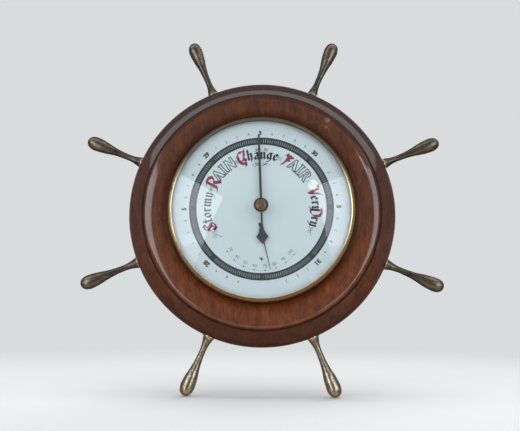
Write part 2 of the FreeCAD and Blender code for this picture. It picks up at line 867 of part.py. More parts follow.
MOVEMENT_PILLARS = [(-21, 9), (21, 9), (-14, 34), (14, 34)]
TOP_PILLARS = [(-19.5, -2), (19.5, -2), (0, 34.5)]


def centre_distance():
    return (size("sector_teeth") + size("pinion_teeth")) * (SIZES["gear_module"] / 2)


def make_movement_plate():
    sector = centre_distance()
    height = size("rocker_height")
    body = new_body("movement_plate")
    pivot = size("pivot_radius") + size("running_gap")
    pad(body, size("movement_depth"), size("plate_thickness"),
        [(-19, -7), (19, -7), (25, -1), (25, 12), (17, 38), (-17, 38), (-25, 12), (-25, -1)],
        disc(0, 0, pivot), disc(0, sector, pivot),
        disc(-6.5, lever_end(), 2.4),
        rectangle(5.8, height - 3, 8.2, height + 3),
        *[disc(across, up, 1.25) for across, up in MOVEMENT_PILLARS])
    return body


def make_movement_pillars():
    return group("movement_pillars", [
        pillar(f"movement_pillar_{k + 1}", base_front(), size("movement_depth"), 2.0, *spot)
        for k, spot in enumerate(MOVEMENT_PILLARS)])


def make_movement_screws():
    seat = size("movement_depth") + size("plate_thickness")
    return group("movement_screws", [
        screw(f"movement_screw_{k + 1}", seat, size("plate_thickness"), 1.2, 1.9, 0.9, *spot)
        for k, spot in enumerate(MOVEMENT_PILLARS)])


def make_top_plate():
    sector = centre_distance()
    body = new_body("top_plate")
    pivot = size("pivot_radius") + size("running_gap")
    return pad(body, size("top_plate_depth"), size("top_plate_thickness"),
               [(-23, -5.5), (23, -5.5), (23, -1), (4, 38), (-4, 38), (-23, -1)],
               disc(0, 0, size("arbor_radius") + size("running_gap")), disc(0, sector, pivot),
               [(-8, 12), (8, 12), (2.5, 23), (-2.5, 23)],
               *[disc(across, up, 1.05) for across, up in TOP_PILLARS])


def make_top_pillars():
    back = size("movement_depth") + size("plate_thickness")
    return group("top_pillars", [
        pillar(f"top_pillar_{k + 1}", back, size("top_plate_depth"), 1.8, *spot)
        for k, spot in enumerate(TOP_PILLARS)])


def make_top_screws():
    seat = size("top_plate_depth") + size("top_plate_thickness")
    return group("top_plate_screws", [
        screw(f"top_screw_{k + 1}", seat, size("top_plate_thickness"), 1.0, 1.7, 0.8, *spot)
        for k, spot in enumerate(TOP_PILLARS)])


def involute(angle):
    return math.tan(angle) - angle


def tooth(teeth, centre_angle):
    """The outline of one involute tooth, from its root on one side to its root on the other."""
    module = sheet.get("gear_module")
    pitch = module * teeth / 2
    base = pitch * math.cos(PRESSURE_ANGLE)
    root, tip = pitch - 0.9 * module, pitch + 0.7 * module
    half = math.pi / (2 * teeth) - GEAR_BACKLASH / (4 * pitch) + involute(PRESSURE_ANGLE)
    start = max(base, root)
    flank = [(root, half)] if root < base else []
    steps = 4
    for k in range(steps + 1):
        radius = start + (tip - start) * k / steps
        flank.append((radius, half - involute(math.acos(min(1.0, base / radius)))))
    rising = [(radius, centre_angle - offset) for radius, offset in flank]
    falling = [(radius, centre_angle + offset) for radius, offset in reversed(flank)]
    return rising + falling


def gear_points(teeth, first, count, turn):
    """Tooth outlines one after another, as points in X and Z about the gear's centre."""
    points = []
    for k in range(first, first + count):
        for radius, angle in tooth(teeth, turn + 2 * math.pi * k / teeth):
            points.append(Vector(radius * math.cos(angle), 0, radius * math.sin(angle)))
    return points


def solid_plate(points, thickness):
    face = Part.Face(Part.makePolygon(points + [points[0]]))
    return face.extrude(Vector(0, -thickness, 0))


def forward_cylinder(radius, back, front, across=0.0):
    return Part.makeCylinder(radius, front - back, Vector(across, -back, 0), Vector(0, -1, 0))


def shape_feature(label, shape, depth, up=0.0):
    """Keeps a shape drawn about its own centre, with its back at depth."""
    feature = doc.addObject("Part::Feature", label)
    feature.Label = label
    feature.Shape = shape
    feature.Placement = Placement(Vector(0, -depth, up), Rotation())
    return feature


def make_pinion():
    """Twelve teeth with a gap at the top, where the sector's middle tooth stands."""
    teeth = int(sheet.get("pinion_teeth"))
    points = gear_points(teeth, 0, teeth, math.pi / 2 + math.pi / teeth)
    blank = solid_plate(points, 2.0)
    bore = forward_cylinder(sheet.get("arbor_radius"), -1, 3)
    return shape_feature("pinion", blank.cut(bore), sheet.get("sector_depth") - 0.5)


def make_sector_gear():
    """A toothed sector with its hub and the tail whose pin rides on the rocking arm."""
    teeth = int(sheet.get("sector_teeth"))
    half_count = 8
    height = (teeth + sheet.get("pinion_teeth")) * sheet.get("gear_module") / 2
    tail = sheet.get("sector_tail")
    arc = gear_points(teeth, -half_count, 2 * half_count + 1, -math.pi / 2)
    edge = math.radians(25.5)
    root = teeth * sheet.get("gear_module") / 2 - 1.0
    left = Vector(-root * math.sin(edge), 0, -root * math.cos(edge))
    right = Vector(root * math.sin(edge), 0, -root * math.cos(edge))
    fan = solid_plate([Vector(-3, 0, 0), left] + arc + [right, Vector(3, 0, 0)], 1.0)
    window_top, window_low, slant = -7.0, -19.0, math.tan(math.radians(17))
    window = solid_plate([Vector(x * slant, 0, z) for x, z in (
        (window_top, window_top), (window_low, window_low),
        (-window_low, window_low), (-window_top, window_top))], 1.0)
    hub = forward_cylinder(4.0, 0, 1)
    arm = Part.makeBox(tail, 1.0, 3.0, Vector(0, -1.0, -1.5))
    arm_end = forward_cylinder(1.5, 0, 1, tail)
    pin = forward_cylinder(0.5, -1.4, 1, tail)
    bore = forward_cylinder(1.2, -1, 2)
    shape = fan.cut(window).fuse([hub, arm, arm_end, pin]).removeSplitter().cut(bore)
    return shape_feature("sector_gear", shape, sheet.get("sector_depth"), height)


def make_sector_arbor():
    plate, front = size("movement_depth"), size("top_plate_depth")
    pivot = size("pivot_radius")
    body = turned(
        "sector_arbor",
        (0, plate), (pivot, plate), (pivot, plate + size("plate_thickness") + 0.1),
        (1.2, plate + size("plate_thickness") + 0.1), (1.2, front - 0.1), (pivot, front - 0.1),
        (pivot, front + size("top_plate_thickness")), (0, front + size("top_plate_thickness")))
    body.Placement.Base = Vector(0, 0, centre_distance().number)
    body.setExpression(".Placement.Base.z", centre_distance().text)
    return body


def make_pointer_arbor():
    plate, pivot, radius = size("movement_depth"), size("pivot_radius"), size("arbor_radius")
    tip = size("pressure_hand_depth") + size("hand_thickness") + 0.5
    shoulder = plate + size("plate_thickness") + 0.1
    return turned("pointer_arbor", (0, plate), (pivot, plate), (pivot, shoulder),
                  (radius, shoulder), (radius, tip), (0, tip))


def spiral_strip(inner, pitch, half_turns, thickness, width):
    """A flat strip wound in half circles that grow by half the pitch each."""
    outer_side, inner_side = [], []
    for k in range(half_turns):
        centre = Vector((pitch / 4) * (-1) ** k, 0, 0)
        middle = inner + pitch / 4 + k * pitch / 2
        side = 1 if k % 2 == 0 else -1
        for radius, edges in ((middle + thickness / 2, outer_side),
                              (middle - thickness / 2, inner_side)):
            start = centre + Vector(radius * -side, 0, 0)
            top = centre + Vector(0, 0, radius * side)
            end = centre + Vector(radius * side, 0, 0)
            edges.append(Part.Arc(start, top, end).toShape())
    caps = [Part.LineSegment(outer_side[0].Vertexes[0].Point,
                             inner_side[0].Vertexes[0].Point).toShape(),
            Part.LineSegment(outer_side[-1].Vertexes[-1].Point,
                             inner_side[-1].Vertexes[-1].Point).toShape()]
    wire = Part.Wire(Part.sortEdges(outer_side + inner_side + caps)[0])
    return Part.Face(wire).extrude(Vector(0, -width, 0))


def make_hairspring():
    strip = spiral_strip(1.7, 1.0, 10, 0.2, 0.5)
    return shape_feature("hairspring", strip, sheet.get("top_plate_depth") - 0.85)


def make_hairspring_stud():
    """The peg under the top plate that grips the hairspring's outer end."""
    front = size("top_plate_depth")
    body = new_body("hairspring_stud")
    return pad(body, front - 0.9, 0.9, rectangle(-7.9, -0.7, -6.85, 0.7))


# ---------------------------------------------------------------- hands and knob

def hand_placement(angle, up=0.0):
    return Placement(Vector(0, 0, up), Rotation(Vector(0, 1, 0), angle))


def make_pressure_hand():
    """A needle with a tail that swells into a diamond."""
    length = size("pressure_hand_length")
    body = new_body("pressure_hand")
    right = [(0.35, length - 4), (1.5, 1.5), (1.0, -12.5), Bend((1.7, -17.2)), (4.0, -21.0)]
    left = [Bend((-p[0], p[1])) if isinstance(p, Bend) else (-p[0], p[1])
            for p in reversed(right)]
    pad(body, size("pressure_hand_depth"), size("hand_thickness"),
        [(0, length)] + right + [(0, -26.0)] + left)
    cut(body, size("pressure_hand_depth") - 0.1, size("hand_thickness") + 0.2,
        disc(0, 0, size("arbor_radius")))
    body.Placement = hand_placement(HANDS_ANGLE)
    return body


def make_hand_collet():
    depth = size("pressure_hand_depth")
    body = turned("hand_collet", (size("arbor_radius"), depth - 0.9), (2.0, depth - 0.9),
                  (2.0, depth), (size("arbor_radius"), depth))
    return body


def make_set_hand():
    length = size("set_hand_length")
    body = new_body("set_hand")
    pad(body, size("set_hand_depth"), size("hand_thickness"),
        [(-0.75, 0), (0.75, 0), (0.62, 20), (0.4, length - 1), (0, length), (-0.4, length - 1),
         (-0.62, 20)])
    pad(body, size("set_hand_depth"), size("hand_thickness"), disc(0, 0, 3.0))
    cut(body, size("set_hand_depth") - 0.1, size("hand_thickness") + 0.2,
        disc(0, 0, size("spindle_radius")))
    body.Placement = hand_placement(HANDS_ANGLE)
    return body


def make_set_spindle():
    radius, hand = size("spindle_radius"), size("set_hand_depth")
    return turned(
        "set_spindle",
        (0, hand - 0.2), (radius, hand - 0.2), (radius, hand + size("hand_thickness")),
        (2.2, hand + size("hand_thickness")), (2.2, hand + 1.8), (radius, hand + 1.8),
        (radius, size("knob_front") - 1.0), (0, size("knob_front") - 1.0))


def make_set_knob():
    radius, back, front = size("knob_radius"), size("knob_depth"), size("knob_front")
    bore = size("spindle_radius")
    return turned(
        "set_knob",
        (bore, back), (radius - 0.4, back), (radius, back + 0.4), (radius, front - 1.0),
        Bend((radius - 0.25, front - 0.45)), (radius - 0.9, front - 0.2),
        Dome(), (0, front), (0, front - 1.0), (bore, front - 1.0))


def make_thermometer_hand():
    length = size("thermometer_hand_length")
    body = new_body("thermometer_hand")
    pad(body, size("thermometer_hand_depth"), 0.3,
        [(0, length), (0.3, length - 3), (0.5, 1), (0.5, -4), (0, -5), (-0.5, -4), (-0.5, 1),
         (-0.3, length - 3)])
    pad(body, size("thermometer_hand_depth"), 0.3, disc(0, 0, 1.5))
    cut(body, size("thermometer_hand_depth") - 0.1, 0.5, disc(0, 0, 0.7))
    body.Placement = hand_placement(THERMOMETER_ANGLE, -SIZES["thermometer_drop"])
    return body


BRACKET_DEPTH = 24.5
COIL_DEPTH = 26.2


def make_thermometer_arbor():
    tip = size("thermometer_hand_depth") + 0.5
    body = turned("thermometer_arbor", (0, BRACKET_DEPTH), (0.7, BRACKET_DEPTH), (0.7, 26.0),
                  (1.3, 26.0), (1.3, 28.4), (0.7, 28.4), (0.7, tip), (0, tip))
    body.Placement.Base = Vector(0, 0, -SIZES["thermometer_drop"])
    body.setExpression(".Placement.Base.z", (-size("thermometer_drop")).text)
    return body


def make_thermometer_bracket():
    """A cradle on the back of the dial that holds the arbor and the coil's outer end."""
    drop = size("thermometer_drop")
    body = new_body("thermometer_bracket")
    pad(body, BRACKET_DEPTH, 0.8, rectangle(-9.5, -drop - 3, 9.5, -drop + 3),
        disc(0, -drop, 0.75))
    pad(body, BRACKET_DEPTH, size("dial_depth") - BRACKET_DEPTH,
        rectangle(-9.5, -drop - 2, -8.35, -drop + 2), rectangle(8.35, -drop - 2, 9.5, -drop + 2))
    return body


def make_bimetal_coil():
    coil = spiral_strip(1.7, 1.6, 8, 0.5, 2.0)
    return shape_feature("bimetal_coil", coil, COIL_DEPTH, -sheet.get("thermometer_drop"))


# ---------------------------------------------------------------- the whole instrument

parts = [make_wooden_surround()]
parts += [make_handle(k + 1, angle) for k, angle in enumerate(HANDLE_ANGLES)]
parts += [make() for make in (
    make_back_cover, make_cover_screws, make_hanger_plate, make_hanger_screws,
    make_case_clamps, make_clamp_screws, make_bezel, make_glass, make_glass_bush, make_gasket,
    make_spacer, make_dial, make_case, make_base_plate, make_base_screws,
    make_adjusting_screw, make_capsule_body, make_capsule_diaphragm, make_capsule_post,
    make_main_spring, make_bridge, make_bridge_pillars, make_bridge_screws, make_spring_screws,
    make_main_lever, make_pusher_screw, make_rocking_shaft, make_shaft_bearings,
    make_movement_plate, make_movement_pillars, make_movement_screws, make_top_plate,
    make_top_pillars, make_top_screws, make_pinion, make_sector_gear, make_sector_arbor,
    make_pointer_arbor, make_hairspring, make_hairspring_stud, make_pressure_hand,
    make_hand_collet, make_set_hand, make_set_spindle, make_set_knob, make_thermometer_hand,
    make_thermometer_arbor, make_thermometer_bracket, make_bimetal_coil)]

doc.recompute()
failed = [item.Name for item in doc.Objects if {"Invalid", "Error"} & set(item.State)]
if failed:
    raise RuntimeError(f"objects that did not recompute: {failed}")
for part in parts:
    if part.Shape.isNull() or not part.Shape.isValid() or part.Shape.Volume <= 0:
        raise RuntimeError(f"{part.Label} has no valid solid")

os.makedirs("parts", exist_ok=True)
for part in parts:
    part.Shape.exportStep(os.path.join("parts", part.Label + ".step"))
print(len(parts), "parts written")
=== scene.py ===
"""Ship's wheel aneroid barometer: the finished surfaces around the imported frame.

Lengths are written in millimetres and turned into metres where vertices are made.
A point of a turned outline is (radius, depth), where depth is measured forwards from
the wall plane. Clock angles are in degrees, clockwise from the top of the dial.
"""
import json
import math

import bmesh
import bpy
from mathutils import Matrix, Quaternion, Vector, noise


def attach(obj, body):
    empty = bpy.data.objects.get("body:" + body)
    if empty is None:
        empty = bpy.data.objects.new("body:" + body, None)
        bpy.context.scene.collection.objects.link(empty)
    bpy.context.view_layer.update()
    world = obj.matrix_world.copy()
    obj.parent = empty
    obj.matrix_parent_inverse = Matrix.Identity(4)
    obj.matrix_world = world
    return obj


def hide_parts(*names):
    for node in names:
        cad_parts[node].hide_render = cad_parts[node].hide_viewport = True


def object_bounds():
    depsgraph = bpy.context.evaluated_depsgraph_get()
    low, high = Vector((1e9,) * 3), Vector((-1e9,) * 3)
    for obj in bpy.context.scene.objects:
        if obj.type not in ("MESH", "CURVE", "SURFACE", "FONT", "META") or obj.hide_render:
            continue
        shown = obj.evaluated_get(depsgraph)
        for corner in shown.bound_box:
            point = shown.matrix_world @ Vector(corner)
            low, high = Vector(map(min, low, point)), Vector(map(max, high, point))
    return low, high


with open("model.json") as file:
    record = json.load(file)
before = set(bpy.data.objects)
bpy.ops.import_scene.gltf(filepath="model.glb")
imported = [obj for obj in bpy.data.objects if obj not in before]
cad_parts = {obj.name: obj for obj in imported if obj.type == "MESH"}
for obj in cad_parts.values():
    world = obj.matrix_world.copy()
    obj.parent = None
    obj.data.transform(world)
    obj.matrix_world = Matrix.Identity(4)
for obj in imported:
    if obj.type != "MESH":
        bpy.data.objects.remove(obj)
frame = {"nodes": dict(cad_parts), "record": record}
cad_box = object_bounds()

MM = 0.001
PER_METRE = 1000.0
SEGMENTS = 288           # round the large turned pieces
WOOD_RIM = 94.0          # where the handles start, from the dial's axis
HANDLE_DEPTH = 10.0
HANDLE_CLOCK = [22.5 + 45.0 * k for k in range(8)]
DIAL_FACE = 30.0
PRINT_DEPTH = 0.05       # how far the ink stands on the dial
PRINT_ROOT = 0.02        # and how far it reaches into it, so that no faces coincide
DIAL_TURN = -1.3         # the printed dial sits slightly turned in its case
NEAR, FAR = DIAL_FACE - PRINT_ROOT, DIAL_FACE + PRINT_DEPTH
THERMOMETER_DROP = 15.3  # the small hand's pivot below the dial's axis
HAND_CLOCK = -2.5
THERMOMETER_CLOCK = 166.4


# ------------------------ mesh helpers

def forwards(radius, angle, depth):
    """A point on the plane at this depth, in metres; its angle is in radians."""
    return Vector((radius * math.sin(angle), -depth, radius * math.cos(angle))) * MM


def clock(angle, radius, depth):
    """The same, with a clock angle in degrees."""
    return forwards(radius, math.radians(angle), depth)


def circle(radius, count):
    return [(radius * math.cos(math.tau * k / count), radius * math.sin(math.tau * k / count))
            for k in range(count)]


def rectangle(half_width, low, high):
    return [(-half_width, low), (half_width, low), (half_width, high), (-half_width, high)]


def arc_points(start, middle, end, step=7.0):
    """Points after start, up to end, on the arc through the three points."""
    (ax, ay), (bx, by), (cx, cy) = start, middle, end
    d = 2 * (ax * (by - cy) + bx * (cy - ay) + cx * (ay - by))
    a2, b2, c2 = ax * ax + ay * ay, bx * bx + by * by, cx * cx + cy * cy
    ox = (a2 * (by - cy) + b2 * (cy - ay) + c2 * (ay - by)) / d
    oy = (a2 * (cx - bx) + b2 * (ax - cx) + c2 * (bx - ax)) / d
    radius = math.hypot(ax - ox, ay - oy)
    first, via, last = (math.atan2(y - oy, x - ox) for x, y in (start, middle, end))
    sweep = (last - first) % math.tau
    if (via - first) % math.tau > sweep:
        sweep -= math.tau
    count = max(3, math.ceil(abs(math.degrees(sweep)) / step))
    return [(ox + radius * math.cos(first + sweep * k / count),
             oy + radius * math.sin(first + sweep * k / count)) for k in range(1, count)] + [end]


def outline(*items, step=7.0):
    """Corners, and ("via", x, y) items that bend the run between the corners beside them."""
    points, via = [], None
    for item in items:
        if len(item) == 3:
            via = item[1:]
        elif via is None:
            points.append(item)
        else:
            points += arc_points(points[-1], via, item, step)
            via = None
    return points


def divided(points, longest):
    """The same outline with extra points, so that no step is longer than this."""
    result = [points[0]]
    for start, end in zip(points, points[1:]):
        count = max(1, math.ceil(math.dist(start, end) / longest))
        result += [(start[0] + (end[0] - start[0]) * k / count,
                    start[1] + (end[1] - start[1]) * k / count) for k in range(1, count + 1)]
    return result


def both_sides(right):
    """A symmetric outline from its right-hand points, listed from tip to tail."""
    return right + [(-x, z) for x, z in reversed(right) if abs(x) > 1e-6]


def placed(name, data):
    """A new object in the scene."""
    thing = bpy.data.objects.new(name, data)
    bpy.context.scene.collection.objects.link(thing)
    return thing


def dress(mesh, material, sharp):
    """Gives a mesh its material, and makes it smooth apart from edges sharper than this."""
    for polygon in mesh.polygons:
        polygon.use_smooth = True
    mesh.set_sharp_from_angle(angle=math.radians(sharp))
    mesh.materials.clear()
    mesh.materials.append(material)


def new_piece(name, mesh, body, material, replaces=(), sharp=32.0):
    """A mesh as a piece of the model, on its body and in its material slot."""
    dress(mesh, material, sharp)
    mesh.name = name
    piece = placed(name, mesh)
    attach(piece, body)
    if replaces:
        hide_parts(*replaces)


def mesh_from(bm):
    bmesh.ops.recalc_face_normals(bm, faces=bm.faces)
    mesh = bpy.data.meshes.new("shape")
    bm.to_mesh(mesh)
    bm.free()
    return mesh


def spoke(clock_angle):
    """Places a turned point on a handle's axis, measured outwards from the rim."""
    turn = Matrix.Rotation(math.radians(clock_angle), 3, "Y")

    def place(radius, angle, out):
        local = Vector((radius * math.cos(angle), radius * math.sin(angle) - HANDLE_DEPTH,
                        WOOD_RIM + out))
        return (turn @ local) * MM
    return place


def turned(profile, place=forwards, segments=SEGMENTS, shape=None):
    """A closed turned solid. shape moves each vertex, given its place, radius and depth."""
    bm = bmesh.new()
    rings = []
    for radius, depth in profile:
        if radius < 1e-6:
            rings.append([bm.verts.new(place(0, 0, depth))])
            continue
        ring = []
        for k in range(segments):
            angle = math.tau * k / segments
            point = place(radius, angle, depth)
            ring.append(bm.verts.new(shape(point, radius, depth) if shape else point))
        rings.append(ring)
    pairs = list(zip(rings, rings[1:]))
    if len(rings[0]) > 1 and len(rings[-1]) > 1:
        pairs.append((rings[-1], rings[0]))
    for near, far in pairs:
        if len(near) == 1 and len(far) == 1:
            continue
        for k in range(segments):
            nxt = (k + 1) % segments
            if len(near) == 1:
                bm.faces.new((near[0], far[nxt], far[k]))
            elif len(far) == 1:
                bm.faces.new((near[k], near[nxt], far[0]))
            else:
                bm.faces.new((near[k], near[nxt], far[nxt], far[k]))
    return mesh_from(bm)


def prism(bm, points, near, far, place=None):
    """A flat closed outline (across, up) in mm, made solid between two depths."""
    place = place or (lambda x, z, depth: Vector((x, -depth, z)) * MM)
    back = [bm.verts.new(place(x, z, near)) for x, z in points]
    front = [bm.verts.new(place(x, z, far)) for x, z in points]
    bm.faces.new(back)
    bm.faces.new(front)
    for k in range(len(points)):
        j = (k + 1) % len(points)
        bm.faces.new((back[k], back[j], front[j], front[k]))


def slab(points, near, far, place=None):
    """One prism, as a mesh."""
    bm = bmesh.new()
    prism(bm, points, near, far, place)
    return mesh_from(bm)


def baked(base, *helpers):
    """The object's mesh with its modifiers applied; it and its helpers are then removed."""
    graph = bpy.context.evaluated_depsgraph_get()
    result = bpy.data.meshes.new_from_object(base.evaluated_get(graph))
    for thing in (base, *helpers):
        bpy.data.objects.remove(thing, do_unlink=True)
    return result


def combined(mesh, operation, *others, overlaps=False):
    """The mesh joined to others or less them; overlaps says that it also crosses itself."""
    base = placed("base", mesh)
    tools = [placed("tool", other) for other in others]
    for tool in tools:
        step = base.modifiers.new("combine", "BOOLEAN")
        step.operation, step.solver, step.object = operation, "EXACT", tool
        step.use_self = overlaps
    return baked(base, *tools)


def uneven(point, size, height, seed=0.0):
    """A smooth random value for this place, in metres."""
    return noise.noise(point / (size * MM) + Vector((seed, seed * 1.7, seed * 0.6))) * height * MM


# ------------------------ materials

class Field:
    """What a node gives out over a surface; numbers of this kind can be used in sums."""

    def __init__(self, look, socket):
        self.look, self.socket = look, socket

    def __add__(self, other):
        return self.look.math("ADD", self, other)

    def __radd__(self, other):
        return self.look.math("ADD", other, self)

    def __sub__(self, other):
        return self.look.math("SUBTRACT", self, other)

    def __rsub__(self, other):
        return self.look.math("SUBTRACT", other, self)

    def __mul__(self, other):
        return self.look.math("MULTIPLY", self, other)


class Look:
    """A material being wired up, with short calls for the nodes it needs."""

    def __init__(self, name, **constants):
        self.material = bpy.data.materials.new(name)
        self.material.use_nodes = True
        self.tree = self.material.node_tree
        self.shader = self.tree.nodes["Principled BSDF"]
        self.place = self.wired("TexCoord", {}, "Object")
        self.set(**constants)

    def wired(self, kind, inputs, output=0, **settings):
        """One output of a new node, which has these settings and is fed these inputs."""
        node = self.tree.nodes.new("ShaderNode" + kind)
        for key, value in settings.items():
            setattr(node, key, value)
        for key, value in inputs.items():
            self.feed(value, node.inputs[key])
        return Field(self, node.outputs[output])

    def feed(self, value, socket):
        if isinstance(value, Field):
            value = value.socket
        if isinstance(value, bpy.types.NodeSocket):
            self.tree.links.new(value, socket)
        elif isinstance(value, tuple) and len(value) == 3 and socket.type == "RGBA":
            socket.default_value = (*value, 1.0)
        else:
            socket.default_value = value

    def set(self, **inputs):
        """Sets the shader's inputs, and gives the material."""
        for name, value in inputs.items():
            self.feed(value, self.shader.inputs[name.replace("_", " ")])
        return self.material

    def math(self, operation, a, b=0.0, clamp=False):
        return self.wired("Math", {0: a, 1: b}, operation=operation, use_clamp=clamp)

    def largest(self, first, *others):
        for other in others:
            first = self.math("MAXIMUM", first, other)
        return first

    def stretched(self, x=1.0, y=1.0, z=1.0):
        return self.wired("Mapping", {"Vector": self.place, "Scale": (x, y, z)})

    def texture(self, kind, output, size, vector=None, **inputs):
        """A texture whose blotches are about this many millimetres across."""
        return self.wired(kind, {"Vector": vector or self.place, "Scale": 1.0 / (size * MM),
                                 **inputs}, output)

    def noise(self, size, detail=3.0, rough=0.55, vector=None, twist=0.0):
        return self.texture("TexNoise", "Fac", size, vector, Detail=detail, Roughness=rough,
                            Distortion=twist)

    def cells(self, size):
        return self.texture("TexVoronoi", "Distance", size)

    def between(self, value, low, high):
        """0 below low, 1 above high, smooth between; low may be the larger."""
        return self.wired("MapRange", {0: value, 1: low, 2: high}, interpolation_type="SMOOTHSTEP")

    def mix(self, factor, a, b, blend="MIX"):
        return self.wired("Mix", {0: factor, 6: a, 7: b}, 2, data_type="RGBA", blend_type=blend,
                          clamp_factor=True)

    def ramp(self, factor, *stops):
        colour = self.wired("ValToRGB", {0: factor})
        elements = colour.socket.node.color_ramp.elements
        while len(elements) < len(stops):
            elements.new(0.5)
        for element, (position, shade) in zip(elements, stops):
            element.position = position
            element.color = (*shade, 1.0)
        return colour

    def along(self, axis):
        """The surface point's place along an axis, in millimetres."""
        return self.wired("SeparateXYZ", {0: self.place}, axis) * PER_METRE

    def radius(self):
        """Distance from the dial's axis, in millimetres."""
        x, z = self.along("X"), self.along("Z")
        return self.math("SQRT", x * x + z * z)

    def height(self):
        """Height above the dial's axis, in millimetres."""
        return self.along("Z")

    def spot(self, centre, size):
        """1 inside a ragged spot at this place, 0 outside."""
        away = self.wired("VectorMath", {0: self.place, 1: centre}, "Value", operation="DISTANCE")
        ragged = away * PER_METRE + self.noise(1.6, 3) * (size * 0.9)
        return self.between(ragged, size * 1.85, size * 1.05)

    def bump(self, height, depth, strength):
        """Bump of a height field from 0 to 1, this many millimetres deep."""
        return self.wired("Bump", {"Height": height, "Distance": depth * MM, "Strength": strength})


def make_mahogany():
    look = Look("mahogany_varnish", Coat_Roughness=0.095, Coat_IOR=1.75, IOR=1.5,
                Specular_IOR_Level=0.12)
    radius, height = look.radius(), look.height()
    grain = look.noise(2.2, 6, 0.62, look.stretched(1, 1, 0.16), 0.35)
    fine = look.noise(0.55, 4, 0.6, look.stretched(1, 1, 0.10))
    mottle = look.noise(7.0, 6, 0.72, look.stretched(1, 1, 0.7), 0.4)
    pores = look.between(look.noise(0.32, 2, 0.5, look.stretched(1, 1, 0.07)), 0.62, 0.74)
    colour = look.ramp(grain * 0.42 + mottle * 0.58,
                       (0.30, (0.036, 0.0090, 0.0030)), (0.46, (0.082, 0.0215, 0.0062)),
                       (0.58, (0.128, 0.0350, 0.0090)), (0.74, (0.200, 0.0620, 0.0150)))
    colour = look.mix(look.between(fine, 0.35, 0.7) * 0.30, colour, (0.034, 0.009, 0.004))
    colour = look.mix(pores * 0.5, colour, (0.014, 0.005, 0.003))
    # painted reflected light: the lower wood is made lighter and a warmer brown
    painted_table_glow = look.mix(1.0, colour, (1.80, 1.50, 0.62), "MULTIPLY")
    colour = look.mix(look.between(height, 20.0, -70.0) * 0.75, colour, painted_table_glow)
    # painted shade: the wood is darker by the bezel, in the groove, on the bead, at the rim and on
    # the lower outer rim; it spreads wider from the groove near the top and is heavier on the upper
    # bead
    upper = look.between(height, 25.0, 60.0)
    in_groove = look.between(radius + upper * 2.2, 81.0, 82.4) * look.between(radius, 84.2, 83.2)
    outer_low = look.between(radius, 80.0, 84.0) * look.between(height, -20.0, -80.0)
    bead = look.between(radius, 81.5, 83.5) * (0.34 + upper * 0.36)
    painted_shade = look.largest(look.between(radius, 70.0, 65.0) * 0.55, in_groove * 0.62,
                         look.between(radius, 89.5, 93.5) * 0.45, outer_low * 0.62, bead)
    colour = look.mix(painted_shade, colour, (0.014, 0.0055, 0.0040))
    # two scuffs at the upper right, and specks where the varnish is worn through
    specks = look.between(look.cells(7.0), 0.060, 0.035)
    worn = look.largest(look.spot(clock(36.0, 78.3, 27.8), 1.7),
                        look.spot(clock(37.8, 73.6, 27.9), 0.8), specks * 0.4)
    colour = look.mix(worn * 0.55, colour, (0.30, 0.17, 0.13))
    dulled = look.largest(in_groove, outer_low * 0.9, look.between(radius, 71.5, 68.5))
    return look.set(Base_Color=colour, Coat_Weight=1.0 - dulled * 0.88,
                    Roughness=0.34 + look.noise(14, 4) * 0.25 + worn * 0.3,
                    Normal=look.bump(grain * 0.5 + fine * 0.3, 0.05, 0.6),
                    Coat_Normal=look.bump(look.noise(6.5, 3, 0.5), 0.030, 0.5))


def make_antique_brass():
    look = Look("antique_brass_casting", Metallic=1.0)
    radius, height = look.radius(), look.height()
    patches = look.noise(4.2, 5, 0.65, twist=0.4)
    bulb = look.between(radius, 112.0, 128.0)
    foot = look.between(radius, 96.8, 95.2)
    low = look.between(height, -55.0, -90.0)
    pits = look.between(look.cells(1.1), 0.32, 0.12) * (0.15 + low * 0.85)
    # painted sheen: the bulbs, the feet and the lower handles are made lighter in tone
    bright = bulb * 0.16 + foot * 0.40 + low * 0.24
    tone = look.math("ADD", patches * 0.62, bright, clamp=True)
    colour = look.ramp(tone, (0.20, (0.070, 0.058, 0.050)), (0.40, (0.165, 0.136, 0.108)),
                       (0.60, (0.340, 0.275, 0.180)), (0.86, (0.680, 0.580, 0.410)))
    # painted reflection: the lower handles turn paler and more silver
    painted_low_reflection = look.mix(1.0, colour, (1.15, 1.20, 1.35), "MULTIPLY")
    colour = look.mix(low * 0.35, colour, painted_low_reflection)
    relief = look.noise(1.6, 4, 0.6) * (0.35 + low) - pits * 0.6
    return look.set(Base_Color=look.mix(pits * 0.8, colour, (0.035, 0.028, 0.024)),
                    Roughness=0.42 - tone * 0.24 + pits * 0.25,
                    Normal=look.bump(relief, 0.075, 0.75))


def make_polished_brass():
    look = Look("polished_brass", Metallic=1.0)
    cloud = look.noise(7.0, 5, 0.7, twist=0.5)
    spots = look.between(look.cells(2.6), 0.22, 0.07)
    upper = look.between(look.height() + cloud * 20.0, 18.0, 48.0)
    # painted shade dulls the upper bezel; the clouds, the spots and the one spot at the left are
    # tarnish
    tarnish_and_painted_shade = look.largest(look.between(cloud, 0.50, 0.72) * 0.35, spots * 0.35, upper * 0.86,
                         look.spot(clock(282.0, 63.4, 33.8), 1.8) * 0.8)
    colour = look.mix(look.noise(3.0, 3), (0.80, 0.61, 0.32), (0.88, 0.72, 0.42))
    # painted reflection: the lower bezel turns a warmer copper
    colour = look.mix(look.between(look.height(), -30.0, -58.0), colour, (0.74, 0.52, 0.28))
    waves = look.noise(2.6, 2) * 0.8 + look.noise(0.35, 3) * 0.12
    return look.set(Base_Color=look.mix(tarnish_and_painted_shade, colour, (0.12, 0.102, 0.086)),
                    Roughness=0.13 + tarnish_and_painted_shade * 0.35 + look.noise(0.6, 3) * 0.08,
                    Normal=look.bump(waves, 0.07, 0.7))


